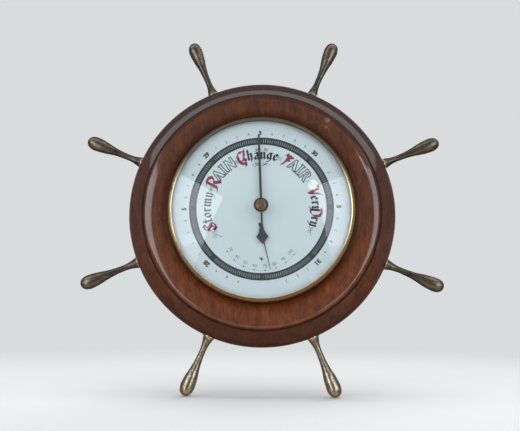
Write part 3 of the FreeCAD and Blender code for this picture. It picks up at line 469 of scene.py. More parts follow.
def make_knob_brass():
    look = Look("mottled_knob_brass", Metallic=1.0)
    radius = look.radius()
    cloud = look.noise(2.1, 5, 0.7, twist=0.8)
    flecks = look.between(look.cells(0.8), 0.38, 0.16)
    # painted shadow: a dark ring round the knob's edge, mixed into the real mottling
    edge = look.between(radius, 3.3, 3.8) * look.between(radius, 4.80, 4.62)
    dark = look.largest(look.between(cloud, 0.42, 0.62) * 0.85, flecks * 0.7, edge * 0.95)
    return look.set(Base_Color=look.mix(dark, (0.50, 0.40, 0.25), (0.060, 0.044, 0.030)),
                    Roughness=0.24 + dark * 0.30,
                    Normal=look.bump(cloud - flecks * 0.4, 0.10, 0.7))


def make_glass():
    """Clear glass that lets straight light through to what it covers."""
    look = Look("clear_glass", Transmission_Weight=1.0, IOR=1.5, Specular_IOR_Level=0.5)
    smears = look.between(look.noise(24.0, 5, 0.6), 0.50, 0.75)
    look.set(Base_Color=(0.965, 0.985, 0.98), Roughness=smears * 0.03,
             Normal=look.bump(look.noise(30.0, 2), 0.03, 0.35))
    straight = look.wired("LightPath", {}, "Is Shadow Ray")
    clear = look.wired("BsdfTransparent", {0: (0.94, 0.955, 0.95)})
    seen = look.wired("MixShader", {0: straight, 1: look.shader.outputs[0], 2: clear})
    look.feed(seen, look.tree.nodes["Material Output"].inputs[0])
    return look.material


def make_dial_enamel():
    look = Look("dial_enamel", Coat_Weight=0.25, Coat_Roughness=0.22)
    cloud = look.noise(16.0, 4, 0.6)
    specks = look.between(look.cells(3.4), 0.070, 0.040)
    # painted shadow: the dial darkens towards its edge under the bezel
    rim = look.between(look.radius(), 60.6, 61.6)
    colour = look.mix(cloud, (0.600, 0.690, 0.730), (0.660, 0.745, 0.775))
    colour = look.mix(specks * 0.35, colour, (0.30, 0.33, 0.31))
    return look.set(Base_Color=look.mix(rim * 0.45, colour, (0.26, 0.27, 0.22)),
                    Roughness=0.42 + cloud * 0.15, Normal=look.bump(look.noise(0.9, 3), 0.012, 0.5))


def make_ink(name, dark, pale, fade):
    look = Look(name, Specular_IOR_Level=0.2)
    cloud = look.noise(1.3, 4, 0.65)
    thin = look.between(cloud, 0.50, 0.72) * fade
    return look.set(Base_Color=look.mix(thin, dark, pale), Roughness=0.38 + cloud * 0.2,
                    Normal=look.bump(look.noise(0.4, 3), 0.01, 0.5))


def make_lacquer():
    look = Look("black_lacquer", Coat_Weight=0.15, Coat_Roughness=0.18, Specular_IOR_Level=0.25)
    cloud = look.noise(2.5, 4)
    chips = look.between(look.cells(2.8), 0.12, 0.06)
    colour = look.mix(cloud, (0.006, 0.011, 0.018), (0.017, 0.027, 0.042))
    return look.set(Base_Color=look.mix(chips * 0.5, colour, (0.12, 0.10, 0.07)),
                    Roughness=0.26 + cloud * 0.22, Normal=look.bump(look.noise(0.7, 3), 0.01, 0.6))


def make_set_hand_brass():
    look = Look("dull_set_hand_brass", Metallic=1.0)
    dull = look.between(look.noise(2.0, 4, 0.65), 0.36, 0.66)
    drawn = look.noise(0.5, 3, vector=look.stretched(1, 1, 0.15))
    return look.set(Base_Color=look.mix(dull, (0.085, 0.078, 0.060), (0.030, 0.031, 0.028)),
                    Roughness=0.26 + dull * 0.25, Normal=look.bump(drawn, 0.012, 0.6))


def make_plain_metal(name, light, stained, rough, brushed=(1.0, 1.0, 1.0)):
    """Sheet, bar and rod: brushed or drawn metal with some staining."""
    look = Look(name, Metallic=1.0)
    lines = look.noise(0.5, 4, 0.6, look.stretched(*brushed))
    cloud = look.between(look.noise(6.0, 5, 0.65, twist=0.3), 0.48, 0.74)
    colour = look.mix(lines, light, tuple(0.82 * c for c in light))
    return look.set(Base_Color=look.mix(cloud * 0.5, colour, stained),
                    Roughness=rough + lines * 0.16 + cloud * 0.15,
                    Normal=look.bump(lines, 0.02, 0.5))


def make_hardboard():
    look = Look("hardboard")
    fibres = look.noise(1.1, 5, 0.7, look.stretched(1.0, 1.0, 0.35), 0.8)
    colour = look.ramp(fibres * 0.6 + look.noise(22.0, 4) * 0.4, (0.30, (0.085, 0.044, 0.022)),
                       (0.50, (0.150, 0.082, 0.042)), (0.72, (0.235, 0.140, 0.078)))
    return look.set(Base_Color=colour, Roughness=0.55 + fibres * 0.25,
                    Normal=look.bump(fibres + look.noise(0.5, 3) * 0.5, 0.07, 0.8))


def make_card():
    look = Look("gasket_card")
    fibres = look.noise(0.6, 5, 0.7)
    return look.set(Base_Color=look.mix(fibres, (0.018, 0.017, 0.014), (0.060, 0.056, 0.045)),
                    Roughness=0.7 + fibres * 0.2, Normal=look.bump(fibres, 0.03, 0.8))


MAHOGANY = make_mahogany()
ANTIQUE_BRASS = make_antique_brass()
POLISHED_BRASS = make_polished_brass()
KNOB_BRASS = make_knob_brass()
GLASS = make_glass()
ENAMEL = make_dial_enamel()
BLACK_INK = make_ink("black_ink", (0.009, 0.016, 0.020), (0.030, 0.042, 0.048), 0.25)
GREY_INK = make_ink("grey_green_ink", (0.040, 0.070, 0.070), (0.16, 0.22, 0.21), 0.4)
RED_INK = make_ink("crimson_ink", (0.235, 0.016, 0.070), (0.42, 0.11, 0.20), 0.45)
LACQUER = make_lacquer()
SET_HAND_BRASS = make_set_hand_brass()

SLOT_LOOKS = {
    "zinc_steel": make_plain_metal("zinc_steel", (0.56, 0.57, 0.58), (0.20, 0.20, 0.20), 0.34),
    "brass_screws": make_plain_metal("turned_brass", (0.70, 0.54, 0.28), (0.20, 0.13, 0.06), 0.28),
    "movement_brass": make_plain_metal("rolled_brass", (0.78, 0.61, 0.32), (0.34, 0.24, 0.11),
                                       0.26, (0.08, 1.0, 1.0)),
    "capsule_metal": make_plain_metal("nickel_silver", (0.66, 0.65, 0.60), (0.36, 0.33, 0.27),
                                      0.25),
    "steel": make_plain_metal("drawn_steel", (0.50, 0.50, 0.51), (0.18, 0.15, 0.13), 0.30),
    "spring_steel": make_plain_metal("blued_spring_steel", (0.10, 0.13, 0.22),
                                     (0.13, 0.09, 0.07), 0.26),
    "bimetal": make_plain_metal("bimetal_strip", (0.58, 0.50, 0.42), (0.30, 0.24, 0.18), 0.33),
    "hardboard": make_hardboard(),
    "gasket_card": make_card(),
    "polished_brass": POLISHED_BRASS,
    "black_lacquer": LACQUER,
    "dial_enamel": ENAMEL,
}


# ------------------------ wooden surround

NICK = clock(234.0, 93.4, 17.0)
NICK_REACH, NICK_DEPTH = 2.0, 0.45
SOCKET_RADIUS, SOCKET_DEPTH = 2.25, 12.5


def make_surround():
    profile = outline(
        (60.2, 4.2), (60.2, 25.2), (64.5, 25.2), ("via", 64.9, 25.35), (65.2, 26.1),
        ("via", 72.5, 27.9), (79.6, 27.66), ("via", 82.2, 26.05), (83.1, 22.9),
        ("via", 83.2, 23.45), (83.55, 23.7), ("via", 87.3, 21.6), (91.0, 18.8),
        ("via", 93.7, 15.9), (94.7, 12.8), (94.7, 0.8),
        (93.2, 0.0), (74.3, 0.0), (74.0, 0.3), (74.0, 2.6), (69.8, 2.6), (69.8, 4.2), step=3.0)

    def hand_finish(point, radius, depth):
        """Turned wood is never quite true, and one small nick marks its outer edge."""
        if radius < 65.0 or depth < 5.0:
            return point
        outwards = Vector((point.x, -0.4 * radius * MM, point.z)).normalized()
        point = point + outwards * uneven(point, 26.0, 0.07)
        near = (point - NICK).length / MM
        if near < NICK_REACH:
            point = point - outwards * (NICK_DEPTH * (1 - near / NICK_REACH) * MM)
        return point

    # a socket for each handle's stem, and the hanger's recess and pocket in the back
    socket = [(0, -SOCKET_DEPTH), (SOCKET_RADIUS, -SOCKET_DEPTH), (SOCKET_RADIUS, 3.0), (0, 3.0)]
    sockets = [turned(socket, spoke(angle), 40) for angle in HANDLE_CLOCK]
    mesh = combined(turned(profile, shape=hand_finish), "DIFFERENCE", *sockets,
                    slab(rectangle(15.0, 76.5, 90.5), -1.0, 1.5),
                    slab(rectangle(5.0, 78.3, 89.1), -1.0, 6.5))
    new_piece("turned_surround", mesh, "case", MAHOGANY, ["wooden_surround"])


# ------------------------ spoke handles

def make_handle(number, angle):
    profile = outline(
        (0, -12.0), (2.0, -12.0), (2.2, -11.8), (2.2, -0.3), (4.0, -0.3), ("via", 4.35, 0.55),
        (3.95, 1.4), ("via", 2.88, 4.8), (2.12, 13.0), ("via", 2.35, 18.5), (3.25, 25.0),
        ("via", 4.45, 31.0), (5.0, 36.5), ("via", 4.87, 39.0), (4.375, 40.82),
        ("via", 2.6, 43.2), (0, 44.0), step=5.0)

    def cast(point, radius, out):
        """Sand-cast brass: soft lumps, and smaller ones on them."""
        if out < 0 or radius < 0.1:
            return point
        away = point - spoke(angle)(0, 0, out)
        return point + away.normalized() * (uneven(point, 5.0, 0.10, number) +
                                            uneven(point, 1.4, 0.035, number))

    # long straight runs are divided, so that the lumps show on them
    mesh = turned(divided(profile, 1.1), spoke(angle), 72, cast)
    new_piece(f"handle_{number}", mesh, "case", ANTIQUE_BRASS,
              [f"spoke_handle_{number}"], sharp=50.0)


# ------------------------ bezel, glass and knob

def make_bezel():
    profile = outline(
        (63.5, 25.25), (64.1, 25.25), (64.2, 25.35), (64.2, 29.4), ("via", 63.75, 33.2),
        (62.6, 34.7), ("via", 61.9, 34.65), (61.2, 34.25), (61.15, 33.85), (61.3, 33.75),
        (63.5, 33.4), step=6.0)

    def spun(point, *_):
        """Spun sheet brass, slightly wavy round its edge."""
        outwards = Vector((point.x, 0, point.z)).normalized()
        return point + outwards * uneven(point, 11.0, 0.05, 3.0)

    new_piece("spun_bezel", turned(profile, shape=spun), "case",
              POLISHED_BRASS, ["bezel"])


def dome(depth_apex, depth_edge, edge_radius, inner_radius, count=26):
    """Points on a spherical cap, from the inner radius to the edge."""
    rise = depth_apex - depth_edge
    radius = (edge_radius ** 2 + rise ** 2) / (2 * rise)
    return [(r, depth_apex - radius + math.sqrt(radius ** 2 - r * r))
            for r in (inner_radius + (edge_radius - inner_radius) * k / count
                      for k in range(count + 1))]


GLASS_RADIUS, GLASS_HOLE, GLASS_THICKNESS = 62.9, 3.2, 2.0
GLASS_APEX, GLASS_EDGE = 40.5, 33.15


def make_glass_pane():
    front, back = (dome(GLASS_APEX - inset, GLASS_EDGE - inset, GLASS_RADIUS, GLASS_HOLE)
                   for inset in (0.0, GLASS_THICKNESS))
    new_piece("domed_glass", turned(front + back[::-1]), "case", GLASS, ["glass"])


def make_knob():
    profile = outline(
        (1.5, 41.45), (4.5, 41.45), ("via", 4.8, 41.55), (4.9, 41.9), (4.9, 43.1),
        ("via", 4.72, 43.62), (4.2, 43.85), ("via", 2.2, 44.12), (0, 44.2), (0, 43.3), (1.5, 43.3),
        step=10.0)
    new_piece("turned_knob", turned(profile, segments=96), "set_hand",
              KNOB_BRASS, ["set_knob"])


# ------------------------ hands

HUB, THERMOMETER_HUB = 3.0, 1.5
SPINDLE_HOLE = 1.5       # in the set hand, round the pressure hand's spindle
HAND_DEPTHS = (32.0, 32.4)
SET_HAND_DEPTHS = (33.4, 33.8)
THERMOMETER_HAND_DEPTHS = (30.6, 30.9)
DROOP_FROM, DROOP = 44.0, 0.1  # the set hand's tip, in millimetres for each one outwards


def hand_place(angle, up=0.0):
    """Turns a point of a hand drawn pointing up about its pivot."""
    a = math.radians(angle)

    def place(x, z, depth):
        return Vector((x * math.cos(a) + z * math.sin(a), -depth,
                       up - x * math.sin(a) + z * math.cos(a))) * MM
    return place


def flat_hand(points, hub, hole, depths, place, chamfer=0.08):
    """A stamped hand: blade and hub in one outline, with eased edges."""
    near, far = depths
    blade = combined(slab(points, near, far, place), "UNION",
                     slab(circle(hub, 64), near, far, place))
    if hole:
        blade = combined(blade, "DIFFERENCE", slab(circle(hole, 48), near - 1, far + 1, place))
    holder = placed("hand", blade)
    ease = holder.modifiers.new("ease", "BEVEL")
    ease.width, ease.segments = chamfer * MM, 2
    ease.limit_method, ease.angle_limit = "ANGLE", math.radians(50)
    return baked(holder)


def make_hands():
    flat = hand_place(HAND_CLOCK)

    def drooping(x, z, depth):
        """The tip is bent back a little, to clear the dome of the glass."""
        return flat(x, z, depth - DROOP * max(0.0, z - DROOP_FROM))

    diamond = both_sides(outline((0, 46.5), (0.45, 42.5), (0.75, 6.0), (0.62, -4.0), (0.62, -10.5),
                                 ("via", 1.45, -15.6), (4.2, -20.0), (0, -25.2)))
    new_piece("lacquered_hand", flat_hand(diamond, HUB, 0.0, HAND_DEPTHS, flat),
              "pressure_hand", LACQUER, ["pressure_hand"])

    pointer = both_sides([(0, 51.2), (0.62, 51.0), (0.72, 44.0), (0.82, 20.0), (0.90, 0.0)])
    new_piece("brass_set_hand", flat_hand(pointer, HUB, SPINDLE_HOLE, SET_HAND_DEPTHS, drooping),
              "set_hand", SET_HAND_BRASS, ["set_hand"])

    thin = both_sides([(0, 27.5), (0.16, 26.8), (0.42, 0.0), (0.85, -4.6), (0.6, -5.0)])
    mesh = flat_hand(thin, THERMOMETER_HUB, 0.0, THERMOMETER_HAND_DEPTHS,
                     hand_place(THERMOMETER_CLOCK, -THERMOMETER_DROP), 0.05)
    new_piece("fine_thermometer_hand", mesh, "thermometer_hand", LACQUER,
              ["thermometer_hand"])


# ------------------------ dial printing

class Print:
    """Ink of one colour, gathered as thin solids on the dial and made one piece."""

    def __init__(self, name, material):
        self.name, self.material = name, material
        self.bm = bmesh.new()       # simple solids that don't overlap
        self.strokes = bmesh.new()  # pen strokes, which do, and are merged

    def finish(self):
        whole = bmesh.new()
        whole.from_mesh(mesh_from(self.bm))
        if self.strokes.verts:
            whole.from_mesh(merged(mesh_from(self.strokes)))
        mesh = bpy.data.meshes.new(self.name)
        whole.to_mesh(mesh)
        whole.free()
        mesh.transform(Matrix.Rotation(math.radians(DIAL_TURN), 4, "Y"))
        new_piece(self.name, mesh, "case", self.material)


def merged(mesh):
    """Crossing solids made one without inner walls, by cutting a speck outside the dial."""
    speck = slab([(200, 200), (200.1, 200), (200.1, 200.1)], DIAL_FACE, FAR)
    return combined(mesh, "DIFFERENCE", speck, overlaps=True)


def frame_at(angle, radius, centre_up=0.0, tops_out=True):
    """Maps (right, up) of a glyph at this clock angle and radius to the dial."""
    a = math.radians(angle)
    out = Vector((math.sin(a), math.cos(a)))
    along = Vector((math.cos(a), -math.sin(a)))
    origin = out * radius + Vector((0, centre_up))
    if not tops_out:
        out, along = -out, -along

    def place(x, z, depth):
        flat = origin + along * x + out * z
        return Vector((flat.x, -depth, flat.y)) * MM
    return place


def turns_right(a, b, c):
    return (b[0] - a[0]) * (c[1] - a[1]) - (b[1] - a[1]) * (c[0] - a[0]) <= 1e-9


def convex(points):
    """The convex outline round the points, anticlockwise."""
    points = sorted(set((round(x, 6), round(y, 6)) for x, y in points))

    def half(items):
        chain = []
        for point in items:
            while len(chain) > 1 and turns_right(chain[-2], chain[-1], point):
                chain.pop()
            chain.append(point)
        return chain[:-1]
    return half(points) + half(points[::-1])


def pen(ink, place, path, width, slant=40.0, thin=0.12):
    """A broad-nib stroke along the path: the nib is a slanted bar moved without turning."""
    s = math.radians(slant)
    along = (width / 2 * math.cos(s), width / 2 * math.sin(s))
    across = (-thin / 2 * math.sin(s), thin / 2 * math.cos(s))
    nib = [(along[0] * i + across[0] * j, along[1] * i + across[1] * j)
           for i in (-1, 1) for j in (-1, 1)]
    for ends in zip(path, path[1:]):
        corners = [(x + nx, y + ny) for x, y in ends for nx, ny in nib]
        prism(ink.strokes, convex(corners), NEAR, FAR, place)


def line(ink, place, path, width, closed=False):
    """A line of even width with mitred corners."""
    points = [Vector(point) for point in path]
    count = len(points)
    before = points[-1] if closed else points[0] * 2 - points[1]
    after = points[0] if closed else points[-1] * 2 - points[-2]
    run = [before, *points, after]
    left, right = [], []
    for before, here, after in zip(run, run[1:], run[2:]):
        d1, d2 = (here - before).normalized(), (after - here).normalized()
        normal = Vector((-d1.y - d2.y, d1.x + d2.x)).normalized()
        reach = width / 2 / max(0.45, normal.dot(Vector((-d1.y, d1.x))))
        left.append(here + normal * reach)
        right.append(here - normal * reach)
    back, front = ([[ink.bm.verts.new(place(*point, depth)) for point in side]
                    for side in (left, right)] for depth in (NEAR, FAR))
    pairs = count if closed else count - 1
    for k in range(pairs):
        j = (k + 1) % count
        ink.bm.faces.new((front[0][k], front[0][j], front[1][j], front[1][k]))
        ink.bm.faces.new((back[0][k], back[0][j], back[1][j], back[1][k]))
        for side in (0, 1):
            ink.bm.faces.new((back[side][k], back[side][j], front[side][j], front[side][k]))
    if not closed:
        for k in (0, count - 1):
            ink.bm.faces.new((back[0][k], back[1][k], front[1][k], front[0][k]))


def dot(ink, place, x, z, radius):
    prism(ink.bm, [(x + a, z + b) for a, b in circle(radius, 12)], NEAR, FAR, place)


def figures(ink, text, place, height, bold):
    """Plain figures of this height, centred on the place; bold thickens them."""
    curve = bpy.data.curves.new("figures", "FONT")
    curve.body, curve.resolution_u, curve.offset, curve.extrude = text, 6, bold, 0.01
    holder = placed("figures", curve)
    bpy.context.view_layer.update()
    mesh = baked(holder)
    bpy.data.curves.remove(curve)
    xs, ys = [v.co.x for v in mesh.vertices], [v.co.y for v in mesh.vertices]
    scale = height / (max(ys) - min(ys))
    middle = Vector((max(xs) + min(xs), max(ys) + min(ys), 0)) / 2
    for vertex in mesh.vertices:
        x, z, _ = (vertex.co - middle) * scale
        vertex.co = place(x, z, FAR if vertex.co.z > 0 else NEAR)
    bm = bmesh.new()
    bm.from_mesh(mesh)
    bmesh.ops.remove_doubles(bm, verts=bm.verts, dist=1e-7)
    ink.bm.from_mesh(mesh_from(bm))


RING_INNER, RING_OUTER = 44.5, 49.5
TICK_INNER, TICK_OUTER = 45.8, 48.2
TICKS = 200              # one for each fiftieth of an inch, right round the dial
HEAVY_EVERY = 25         # whole and half inches, and the foot of the dial
PITCH = 360.0 / TICKS
GAP, HEAVY_GAP = 0.15, 0.026  # the pale part of a pitch, and of one beside a heavy line


def chapter_ring(ink):
    """The black ring, with a pale gap for each division and almost none at the heavy lines."""
    radii = (RING_INNER, TICK_INNER, TICK_OUTER, RING_OUTER)
    steps = []
    for k in range(TICKS):
        gap = HEAVY_GAP if k % HEAVY_EVERY in (0, HEAVY_EVERY - 1) else GAP
        steps += [(k + 0.5 + side * gap / 2) * PITCH for side in (-1, 1)]
    count = len(steps)
    near, far = rows = [[[ink.bm.verts.new(clock(a, r, depth)) for a in steps] for r in radii]
                        for depth in (NEAR, FAR)]

    def solid(band, k):
        return band in (0, 2) or (band == 1 and k % 2 == 1)

    for band in range(3):
        for k in range(count):
            if not solid(band, k):
                continue
            j = (k + 1) % count
            for row in rows:
                ink.bm.faces.new((row[band][k], row[band][j], row[band + 1][j], row[band + 1][k]))
            if band == 1:
                for e in (k, j):
                    ink.bm.faces.new((near[1][e], near[2][e], far[2][e], far[1][e]))
            for edge, neighbour in ((band, band - 1), (band + 1, band + 1)):
                if not solid(neighbour, k):
                    ink.bm.faces.new((near[edge][k], near[edge][j], far[edge][j], far[edge][k]))


def minim(x):
    """The upright of a blackletter small letter, with its small slanted ends."""
    return [(x - 9, 89), (x, 80), (x, 20), (x + 10, 10)]


# A letter is its width and its paths. A path is a run of x,y points, a slash is between paths,
# and an x alone is a minim. The body of a small letter is 100 high.
LETTERS = {
    "t": (42, "14,128 14,20 26,8 42,16 / -6,90 42,90"),
    "o": (60, "30,92 10,74 10,26 30,8 / 30,92 50,74 50,26 30,8"),
    "r": (46, "12 / 16,74 30,88 44,80"),
    "m": (98, "12 / 47 / 82 / 14,76 42,90 / 49,76 77,90"),
    "y": (62, "12 / 38,89 48,80 48,12 34,-14 6,-26 / 20,10 44,22"),
    "h": (64, "6,138 12,128 12,20 22,10 / 14,74 36,90 48,78 48,14 36,-12"),
    "a": (60, "12,80 28,92 46,78 46,20 56,10 / 44,56 22,50 10,36 10,22 22,8 44,20"),
    "n": (62, "12 / 48 / 14,76 43,90"),
    "g": (62, "30,92 10,74 10,30 26,12 46,26 / 30,92 48,78 48,2 32,-20 6,-26 / 50,88 62,84"),
    "e": (54, "28,92 10,74 10,26 26,8 46,18 / 28,92 44,78 40,60 14,44"),
}

# Initials, 100 high
INITIALS = {
    "S": (66, "58,80 44,95 20,90 12,70 26,56 48,44 58,24 42,6 16,8 6,22 / 2,30 16,2 / 34,74 34,24"),
    "R": (84, "22,94 22,6 4,0 / 4,88 22,96 54,94 70,76 62,56 34,46 / 42,46 58,22 72,4 88,14"),
    "C": (68, "46,92 22,96 6,74 6,36 24,6 50,0 48,-20 / 66,104 56,62 42,34 / 36,36 62,24 50,4"),
    "F": (74, "24,102 38,80 32,36 14,2 / 16,88 46,94 76,84 / 36,52 60,54 / 50,86 50,56"),
    "V": (74, "0,98 12,86 22,90 38,8 / 38,8 62,86 74,98"),
    "D": (70, "4,92 36,96 64,78 68,32 44,6 8,6 / 18,92 18,10"),
}

# Open capitals drawn by their outlines, 100 high
OPEN_CAPITALS = {
    "A": (78, "0,0 30,96 48,100 80,0 54,0 46,24 24,24 17,0 / 28,38 42,38 36,66"),
    "I": (40, "0,0 0,10 8,12 8,88 0,90 0,100 36,100 36,90 28,88 28,12 36,10 36,0"),
    "N": (80, "0,0 0,100 20,100 56,42 56,100 76,100 76,0 58,0 20,62 20,0"),
    "R": (74, "0,0 0,100 40,100 58,93 66,74 58,55 46,48 74,0 50,0 28,44 21,44 21,0 / 21,60 38,60 "
              "45,73 38,86 21,86"),
}


def glyph(table, letter, height, squeeze=1.0):
    """A letter's width and its paths, centred across, in millimetres."""
    width, text = table[letter]
    up = height / 100
    across = up * squeeze
    paths = [[tuple(map(int, point.split(","))) for point in path.split()]
             for path in text.split("/")]
    paths = [minim(*path[0]) if len(path[0]) == 1 else path for path in paths]
    return width * across, [[((x - width / 2) * across, y * up) for x, y in path]
                            for path in paths]


def small_letters(ink, text, angle, radius, height, nib, squeeze=1.0, gap=0.16):
    """Blackletter small letters along the arc, starting at a clock angle."""
    for letter in text:
        width, strokes = glyph(LETTERS, letter, height, squeeze)
        step = math.degrees((width + gap * height * squeeze) / (radius + height / 2))
        place = frame_at(angle + step / 2, radius)
        for path in strokes:
            pen(ink, place, path, nib)
        angle += step


def initial(ink, letter, angle, radius, height, nib):
    for path in glyph(INITIALS, letter, height)[1]:
        pen(ink, frame_at(angle, radius), path, nib, INITIAL_SLANT, INITIAL_THIN)


def open_capitals(ink, *letters):
    for letter, angle in letters:
        for path in glyph(OPEN_CAPITALS, letter, OPEN_HEIGHT)[1]:
            line(ink, frame_at(angle, OPEN_FOOT), path, OPEN_LINE, True)


def curl(ink, place, x, z, size, turns, start, way):
    """A small spiral flourish that tightens as it goes."""
    path = []
    count = int(CURL_STEPS * turns)
    for k in range(count + 1):
        reach = size * (1 - CURL_TIGHTENING * k / count)
        a = math.radians(start + way * 360 * turns * k / count)
        path.append((x + reach * math.cos(a), z + reach * math.sin(a)))
    line(ink, place, path, CURL_LINE)


def flourish(ink, angle, radius, size=1.0, way=1):
    """Scrolls and dots at the end of a word."""
    place = frame_at(angle, radius)
    curl(ink, place, -1.3 * size, 0.9 * size, 1.15 * size, 1.1, 20, way)
    curl(ink, place, 1.1 * size, -0.6 * size, 1.0 * size, 1.0, 200, way)
    stem = [(-2.6, -1.4), (-1.2, -0.9), (0.1, 0.6), (2.2, 1.3)]
    line(ink, place, [(x * size, z * size) for x, z in stem], STEM_LINE)
    dot(ink, place, 2.9 * size, 1.7 * size, 0.34 * size)
    dot(ink, place, -3.1 * size, -1.9 * size, 0.38 * size)


CAPITAL_FOOT, CAPITAL_HEIGHT = 32.9, 9.0
SMALL_FOOT, SMALL_HEIGHT = 34.2, 5.3
OPEN_FOOT, OPEN_HEIGHT, OPEN_LINE = 33.7, 7.9, 0.68
CURL_LINE, STEM_LINE = 0.26, 0.30
CURL_STEPS, CURL_TIGHTENING = 14, 0.62
INITIAL_SLANT, INITIAL_THIN = 38.0, 0.30


def weather_words(black, grey, red):
    """Stormy, Rain, Change, Fair and Very Dry along the inside of the ring."""
    flourish(grey, 241.5, 35.8, 1.2)
    initial(red, "S", 250.4, CAPITAL_FOOT, CAPITAL_HEIGHT, 1.7)
    small_letters(black, "tormy", 254.8, SMALL_FOOT, SMALL_HEIGHT, 1.25, 1.06)
    flourish(grey, 291.6, 36.8, 0.85, -1)
    initial(red, "R", 299.2, CAPITAL_FOOT - 0.2, CAPITAL_HEIGHT + 0.7, 2.2)
    open_capitals(grey, ("A", 308.2), ("I", 316.8), ("N", 326.0))
    flourish(grey, 333.4, 36.2, 0.85)
    initial(red, "C", 339.6, CAPITAL_FOOT + 0.1, CAPITAL_HEIGHT + 0.1, 2.2)
    small_letters(black, "hange", 345.0, 34.0, 5.5, 1.75, 1.05)
    for side in (-1, 1):
        flourish(grey, 1.4 + side * 4.2, 40.9, 0.62, side)
        flourish(black, 0.6 + side * 5.2, 30.6, 0.66, -side)
        dot(black, frame_at(0.6 + side * 11.0, 30.8), 0, 0, 0.42)
    flourish(grey, 20.6, 36.6, 0.85)
    initial(red, "F", 28.6, CAPITAL_FOOT, CAPITAL_HEIGHT, 2.0)
    open_capitals(grey, ("A", 37.6), ("I", 46.0), ("R", 54.4))
    flourish(grey, 63.2, 37.0, 0.75)
    initial(red, "V", 73.6, CAPITAL_FOOT + 0.3, CAPITAL_HEIGHT - 0.2, 2.0)
    small_letters(black, "ery", 77.4, SMALL_FOOT, SMALL_HEIGHT, 1.5, 1.02)
    initial(red, "D", 95.4, CAPITAL_FOOT + 0.3, CAPITAL_HEIGHT - 0.4, 1.9)
    small_letters(black, "ry", 100.4, SMALL_FOOT, SMALL_HEIGHT, 1.5, 1.0)
    flourish(grey, 115.8, 36.4, 1.0, -1)


DEGREES_PER_INCH = 90.0
TOP_INCHES = 29.5
# Radius, height and boldness of the figures for whole inches, halves and tenths
WHOLE, HALF, TENTH = (53.1, 3.4, 0.055), (52.9, 3.2, 0.05), (52.5, 1.9, 0.0)


def pressure_figures(black):
    """Inches in bold, halves a little smaller, and the tenths between them small."""
    for tenths in range(277, 314):
        angle = (tenths / 10 - TOP_INCHES) * DEGREES_PER_INCH
        inches, unit = divmod(tenths, 10)
        radius, height, bold = {0: WHOLE, 5: HALF}.get(unit, TENTH)
        figures(black, str(unit or inches), frame_at(angle, radius), height, bold)


THERMOMETER_RADIUS = 27.5
DEGREES_PER_FAHRENHEIT = 1.577
FOOT_FAHRENHEIT = 67.4


def thermometer_scale(black):
    """Dots and figures from 30 to 100, on an arc about the small hand's pivot."""
    for fahrenheit in range(30, 106, 2):
        angle = 180.0 - (fahrenheit - FOOT_FAHRENHEIT) * DEGREES_PER_FAHRENHEIT
        whole = fahrenheit % 10 == 0
        dot(black, frame_at(angle, THERMOMETER_RADIUS, -THERMOMETER_DROP), 0, 0,
            0.50 if whole else 0.22)
        if whole:
            inside = frame_at(angle, THERMOMETER_RADIUS - 3.0, -THERMOMETER_DROP, False)
            figures(black, str(fahrenheit), inside, 2.1, -0.012)
    figures(black, "F", frame_at(180.2, 35.3, 0.0, False), 2.4, 0.05)
    line(black, frame_at(182.6, 34.5, 0.0, False), circle(0.5, 16), 0.22, True)


def make_print():
    inks = [Print("dial_print_black", BLACK_INK), Print("dial_print_grey", GREY_INK),
            Print("dial_print_red", RED_INK)]
    chapter_ring(inks[0])
    pressure_figures(inks[0])
    thermometer_scale(inks[0])
    weather_words(*inks)
    for ink in inks:
        ink.finish()


# ------------------------ the rest of the frame

def finish_cad_nodes():
    """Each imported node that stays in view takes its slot's material and smooth shading."""
    for row in frame["record"]["subparts"]:
        node = frame["nodes"][row["node"]]
        if node.hide_render:
            continue
        dress(node.data, SLOT_LOOKS[row["material_slot"]], 30.0)


# ------------------------ floor, light and camera

FLOOR_GAP = 0.2          # the floor lies this far under the lowest handle
EYE = (7.9, -469.5, -75.3)
AIM = (-0.9, -30.0, -5.2)
ROLL = 0.5
LENS, FILM = 45.0, 36.0
BACKDROP = (0.94, 0.965, 0.975)
BACKDROP_GLOW = 0.74
ROOM, ROOM_GLOW = (0.92, 0.95, 1.0), 0.20
DAYLIGHT = (0.89, 0.93, 1.0)
FLOOR_FADE = (0.18, 0.80)  # metres from the object, where the floor turns into the backdrop


def make_floor():
    """A wide pale floor that the wheel stands on."""
    level = cad_box[0].z - FLOOR_GAP * MM
    bm = bmesh.new()
    centre = bm.verts.new((0, 0, level))
    rings = [[bm.verts.new((x, y, level)) for x, y in circle(radius, 64)]
             for radius in (0.3, 0.8, 2.0, 6.0, 20.0)]
    for k in range(64):
        j = (k + 1) % 64
        bm.faces.new((centre, rings[0][k], rings[0][j]))
        for near, far in zip(rings, rings[1:]):
            bm.faces.new((near[k], far[k], far[j], near[j]))
    look = Look("pale_floor")
    reach = look.wired("VectorMath", {0: look.place}, "Value", operation="LENGTH")
    far = look.between(reach, *FLOOR_FADE)
    pale = look.mix(look.noise(60.0, 3), (0.80, 0.80, 0.795), (0.83, 0.83, 0.82))
    look.set(Base_Color=look.mix(far, pale, (0.0, 0.0, 0.0)), Specular_IOR_Level=0.0, Roughness=0.7,
             Emission_Color=look.mix(far, (0.0, 0.0, 0.0), BACKDROP),
             Emission_Strength=BACKDROP_GLOW, Normal=look.bump(look.noise(1.2, 3), 0.02, 0.3))
    floor = placed("floor", mesh_from(bm))
    floor.data.materials.append(look.material)
    floor.visible_glossy = False


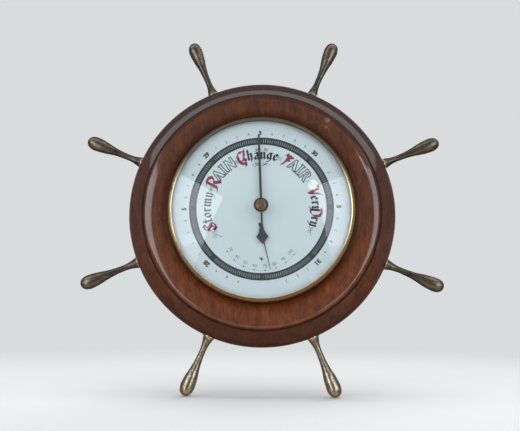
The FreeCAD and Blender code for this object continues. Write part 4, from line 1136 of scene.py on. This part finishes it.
def softbox(name, azimuth, elevation, distance, width, height, glow, tint, lean=0.0):
    """A rectangular lamp facing the dial, placed by its direction in degrees and distance in
    metres; glow is how bright its face looks, and lean turns it about its own middle."""
    lamp = bpy.data.lights.new(name, "AREA")
    lamp.shape = "RECTANGLE"
    lamp.size, lamp.size_y = width, height
    lamp.energy = glow * width * height * math.pi
    lamp.color = tint
    a, e = math.radians(azimuth), math.radians(elevation)
    out = Vector((math.sin(a) * math.cos(e), -math.cos(a) * math.cos(e), math.sin(e)))
    turn = out.to_track_quat("Z", "Y") @ Quaternion((0, 0, 1), math.radians(lean))
    holder = placed(name, lamp)
    holder.location, holder.rotation_euler = out * distance, turn.to_euler()
    holder.visible_camera = False
    return lamp


def soft_sun(name, tilt, strength, spread):
    """Even light over everything, tilted from straight down, left out of mirror reflections."""
    sun = bpy.data.lights.new(name, "SUN")
    sun.energy, sun.angle, sun.color = strength, math.radians(spread), (1.0, 0.99, 0.975)
    holder = placed(name, sun)
    holder.rotation_euler = (math.radians(tilt), 0.0, 0.0)
    holder.visible_glossy = False


def make_light():
    """Soft windows at both sides and behind, a ceiling, a small lamp, light off the table,
    three broad fills, and a dim room whose walls show as the pale backdrop."""
    softbox("window_left", -40.0, 6.5, 1.4, 1.0, 0.80, 2.3, DAYLIGHT, -22.0)
    softbox("window_left_low", -34.0, -20.0, 1.4, 0.50, 0.30, 2.1, DAYLIGHT, -22.0)
    softbox("window_right", 41.0, 5.0, 1.4, 0.90, 0.90, 2.2, DAYLIGHT, 14.0)
    softbox("window_right_low", 30.0, -21.0, 1.4, 0.46, 0.30, 1.9, DAYLIGHT, 14.0)
    softbox("ceiling", 0.0, 68.0, 1.2, 3.6, 0.76, 1.0, (0.88, 0.93, 1.0))
    softbox("small_lamp", 19.3, 17.9, 1.6, 0.110, 0.110, 3.2, (1.0, 1.0, 0.98)).shape = "DISK"
    softbox("table_bounce", 0.0, -58.0, 1.2, 2.6, 0.9, 0.50, (1.0, 0.74, 0.52))
    softbox("back_window", 152.0, 34.0, 1.6, 1.0, 1.0, 1.3, (0.92, 0.95, 1.0))
    soft_sun("front_fill", 58.0, 0.52, 70.0)
    soft_sun("top_fill", 0.0, 1.15, 40.0)
    soft_sun("back_fill", -58.0, 0.45, 70.0)
    world = bpy.data.worlds.new("studio")
    bpy.context.scene.world = world
    world.use_nodes = True
    nodes, links = world.node_tree.nodes, world.node_tree.links
    room, backdrop = nodes["Background"], nodes.new("ShaderNodeBackground")
    for shader, colour, glow in ((room, ROOM, ROOM_GLOW), (backdrop, BACKDROP, BACKDROP_GLOW)):
        shader.inputs["Color"].default_value = (*colour, 1.0)
        shader.inputs["Strength"].default_value = glow
    seen = nodes.new("ShaderNodeLightPath").outputs["Is Camera Ray"]
    choose = nodes.new("ShaderNodeMixShader")
    for way, socket in zip((seen, room.outputs[0], backdrop.outputs[0]), choose.inputs):
        links.new(way, socket)
    links.new(choose.outputs[0], nodes["World Output"].inputs[0])


def make_camera():
    lens = bpy.data.cameras.new("camera")
    lens.lens, lens.sensor_width, lens.sensor_fit = LENS, FILM, "HORIZONTAL"
    lens.clip_start, lens.clip_end = 0.01, 100.0
    camera = placed("camera", lens)
    eye, aim = Vector(EYE) * MM, Vector(AIM) * MM
    turn = (aim - eye).to_track_quat("-Z", "Y") @ Quaternion((0, 0, 1), math.radians(ROLL))
    camera.location, camera.rotation_euler = eye, turn.to_euler()
    bpy.context.scene.camera = camera


make_surround()
for index, handle_angle in enumerate(HANDLE_CLOCK):
    make_handle(index + 1, handle_angle)
make_bezel()
make_glass_pane()
make_knob()
make_hands()
make_print()
finish_cad_nodes()
make_floor()
make_light()
make_camera()
bpy.context.scene.view_settings.view_transform = "Standard"
